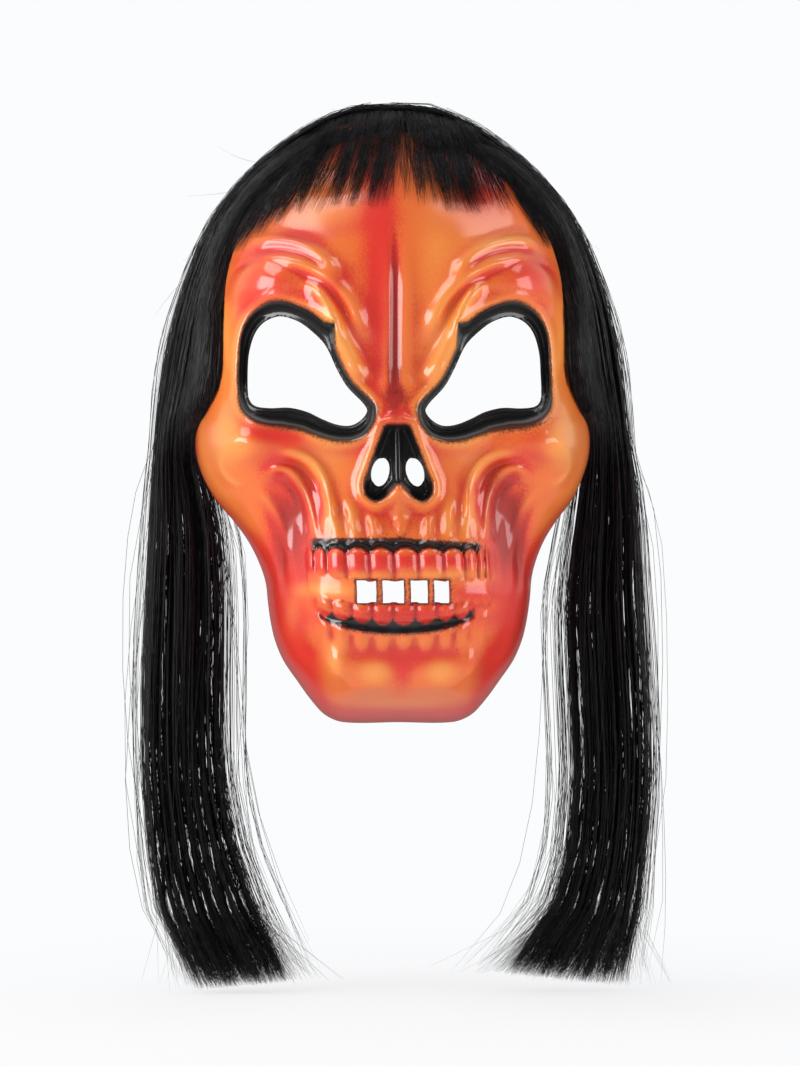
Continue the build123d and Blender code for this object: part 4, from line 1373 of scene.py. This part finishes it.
class MASK_OT_tape(bpy.types.Operator):
    """Sew the curved tape that carries the hair, with a row of stitches along each edge"""

    bl_idname = "mask.tape"
    bl_label = "Weft tape"

    def execute(self, context):
        node = next(o for o in context.scene.objects if o.get("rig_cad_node") == "weft_tape")
        places = np.array([node.matrix_world @ v.co for v in node.data.vertices]) / MM
        middle = places[:, 1].mean()
        fit = np.stack([np.ones(len(places)), places[:, 0] ** 2, places[:, 1] - middle], axis=1)
        level, bow, slope = np.linalg.lstsq(fit, places[:, 2], rcond=None)[0]
        wide = (places[:, 1].max() - places[:, 1].min()) / 2 * math.hypot(1, slope) - 0.4
        reach = places[:, 0].max()
        turn = np.array([1, slope]) / math.hypot(1, slope)

        def at(x, out, up):
            y, z = turn * out + turn[::-1] * (-1, 1) * up
            return x, middle + y, level + bow * x * x + z

        corners = [(wide * math.copysign(abs(math.cos(a)) ** 0.25, math.cos(a)),
                    0.72 * math.copysign(abs(math.sin(a)) ** 0.6, math.sin(a)))
                   for a in np.linspace(0, 2 * math.pi, 40, endpoint=False)]
        bm = swept([[at(x, *c) for c in corners] for x in np.linspace(-reach, reach, 49)])
        for row in (-0.76, 0.76):
            for x in np.arange(-reach + 2, reach - 2, 3.0):
                for up in (-0.75, 0.75):
                    first, last = Vector(at(x, row * wide, up)), Vector(at(x + 2.1, row * wide, up))
                    along = (last - first).to_track_quat("Z", "Y").to_matrix().to_4x4()
                    along.translation = (first + last) / 2 * MM
                    bmesh.ops.create_cone(
                        bm, segments=6, radius1=0.28 * MM, radius2=0.28 * MM, cap_ends=True,
                        depth=(last - first).length * MM, matrix=along)
        mesh = from_bmesh(bm, "weft_tape_sewn")
        piece = add_piece("weft_tape_sewn", mesh, woven_tape(), "mask")
        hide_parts("weft_tape")
        return {"FINISHED"}


class MASK_OT_metal(bpy.types.Operator):
    """Finish the rivets and the staples"""

    bl_idname = "mask.metal"
    bl_label = "Rivets and staples"

    def execute(self, context):
        steel = worn_steel()
        for node in context.scene.objects:
            if node.get("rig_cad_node") in ("weft_staples", "strap_rivet_left", "strap_rivet_right"):
                for held in node.material_slots:
                    held.material = steel
        return {"FINISHED"}


# ======================================================================================
# Stage
# ======================================================================================
WHITE = (0.965, 0.972, 0.982, 1.0)
# Where the camera's axis meets the rim plane: x, z.
AXIS_X, AXIS_Z = 0.0032, -0.0499
# Point that all the lamps are turned towards.
LAMP_AIM = (0, -0.05, 0)
# How far the floor lies below the hair's CAD solids, to clear the tips of the strands.
FLOOR_DROP = 0.0085
# The floor turns from a surface that keeps shadows into an even glow between these distances from
# the middle of the mask.
GLOW_FROM, GLOW_FULL = 0.16, 0.42


def soft_box(name, place, size, power):
    """A rectangular soft lamp turned towards the mask."""
    light = bpy.data.lights.new(name, "AREA")
    light.shape = "RECTANGLE"
    light.size, light.size_y = size
    light.energy = power
    lamp = bpy.data.objects.new(name, light)
    lamp.location = place
    lamp.rotation_euler = (Vector(LAMP_AIM) - Vector(place)).to_track_quat("-Z", "Y").to_euler()
    bpy.context.scene.collection.objects.link(lamp)


def ray_masks(finish):
    """Two masks: rays straight from the camera or let through, and rays mirrored by a surface."""
    path = finish.node("ShaderNodeLightPath")
    either = finish.node("ShaderNodeMath", {"operation": "MAXIMUM"}, {
        0: path.outputs["Is Camera Ray"], 1: path.outputs["Is Transmission Ray"]})
    return Value(finish, either.outputs[0]), Value(finish, path.outputs["Is Glossy Ray"])


class MASK_OT_stage(bpy.types.Operator):
    """Set up the camera, the soft boxes, the room and the floor"""

    bl_idname = "mask.stage"
    bl_label = "Stage"

    def execute(self, context):
        scene, stage = context.scene, context.scene.mask_stage
        camera = bpy.data.cameras.new("camera")
        camera.lens = stage.lens
        camera.sensor_fit = "VERTICAL"
        camera.sensor_height = 36.0
        eye = bpy.data.objects.new("camera", camera)
        turn = stage.azimuth
        eye.location = (AXIS_X + math.sin(turn) * stage.distance, -math.cos(turn) * stage.distance, AXIS_Z)
        eye.rotation_euler = (math.radians(90), 0, turn)
        scene.collection.objects.link(eye)
        scene.camera = eye
        soft_box("left_box", (-1.45, -0.4, 0.0), (1.2, 1.6), stage.left)
        soft_box("right_box", (1.45, -0.4, 0.0), (1.2, 1.6), stage.right)
        soft_box("top_left_box", (-0.85, -0.15, 1.2), (0.8, 0.8), stage.top)
        soft_box("top_right_box", (0.8, 0.0, 1.3), (0.6, 0.6), 0.35 * stage.top)
        self.room(stage)
        self.floor(stage)
        scene.view_settings.view_transform = "Standard"
        return {"FINISHED"}

    def room(self, stage):
        """White backdrop, even light all round, and a dim room to mirror."""
        world = bpy.data.worlds.new("room")
        bpy.context.scene.world = world
        world.use_nodes = True
        room = Finish.__new__(Finish)
        room.tree = world.node_tree
        seen, mirrored = ray_masks(room)
        look = room.node("ShaderNodeTexCoord").outputs["Generated"]
        way = room.node("ShaderNodeSeparateXYZ", sockets={0: look})
        behind = Value(room, way.outputs["Y"]).rise(-0.2, 0.6) * 0.3 + 0.03
        background = room.tree.nodes["Background"]
        background.inputs["Color"].default_value = WHITE
        lit = stage.room * (1 - mirrored) + behind * mirrored
        room.put(background.inputs["Strength"], lit + (1 - lit) * seen)

    def floor(self, stage):
        """Pale floor that keeps the shadow of the hair, and glows evenly further out."""
        bm = bmesh.new()
        bmesh.ops.create_grid(bm, x_segments=1, y_segments=1, size=9.0)
        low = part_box("hair_fall_left_middle")[0].z - FLOOR_DROP
        bmesh.ops.translate(bm, verts=bm.verts, vec=(0, 0, low))
        floor = bpy.data.objects.new("floor", from_bmesh(bm, "floor"))
        bpy.context.scene.collection.objects.link(floor)
        finish = Finish("pale_floor", base_color=(0.45, 0.45, 0.455), roughness=0.95, specular_ior_level=0.0)
        finish.shader.inputs["Emission Color"].default_value = WHITE
        seen, mirrored = ray_masks(finish)
        finish.feed("Emission Strength", 0.3 * (1 - mirrored) + seen * 0.24)
        glow = finish.node("ShaderNodeEmission", sockets={
            "Color": WHITE[:3], "Strength": stage.bounce * (1 - seen) * (1 - 0.88 * mirrored) + seen})
        away = finish.node("ShaderNodeVectorMath", {"operation": "LENGTH"}, {
            0: finish.node("ShaderNodeTexCoord").outputs["Object"]})
        far = Value(finish, away.outputs["Value"]).rise(GLOW_FROM, GLOW_FULL)
        both = finish.node("ShaderNodeMixShader", sockets={
            0: far, 1: finish.shader.outputs[0], 2: glow.outputs[0]})
        finish.tree.links.new(both.outputs[0], finish.tree.nodes["Material Output"].inputs["Surface"])
        floor.data.materials.append(finish.material)


# ======================================================================================
# Add-on
# ======================================================================================
class MASK_PT_panel(bpy.types.Panel):
    """Buttons and settings of the mask"""

    bl_idname = "MASK_PT_panel"
    bl_label = "Mask"
    bl_space_type = "VIEW_3D"
    bl_region_type = "UI"
    bl_category = "Mask"

    def draw(self, context):
        for operator in OPERATORS:
            self.layout.operator(operator.bl_idname)
        for name in SETTINGS:
            settings = getattr(context.scene, name)
            box = self.layout.box()
            for entry in settings.bl_rna.properties:
                if entry.identifier not in ("rna_type", "name"):
                    box.prop(settings, entry.identifier)


SETTINGS = {"mask_face": FaceSettings, "mask_hair": HairSettings, "mask_stage": StageSettings}
OPERATORS = (
    MASK_OT_stage, MASK_OT_face, MASK_OT_curtains, MASK_OT_fringe, MASK_OT_band, MASK_OT_tape, MASK_OT_metal)


def register():
    """Adds the classes, and the settings to the scene."""
    for cls in (*SETTINGS.values(), *OPERATORS, MASK_PT_panel):
        bpy.utils.register_class(cls)
    for name, cls in SETTINGS.items():
        setattr(bpy.types.Scene, name, bpy.props.PointerProperty(type=cls))


def unregister():
    """Takes them out again."""
    for name in SETTINGS:
        delattr(bpy.types.Scene, name)
    for cls in reversed((*SETTINGS.values(), *OPERATORS, MASK_PT_panel)):
        bpy.utils.unregister_class(cls)


def main():
    """Builds everything."""
    register()
    bpy.ops.mask.stage()
    bpy.ops.mask.face()
    bpy.ops.mask.curtains()
    bpy.ops.mask.fringe()
    bpy.ops.mask.band()
    bpy.ops.mask.tape()
    bpy.ops.mask.metal()


if __name__ == "__main__":
    main()
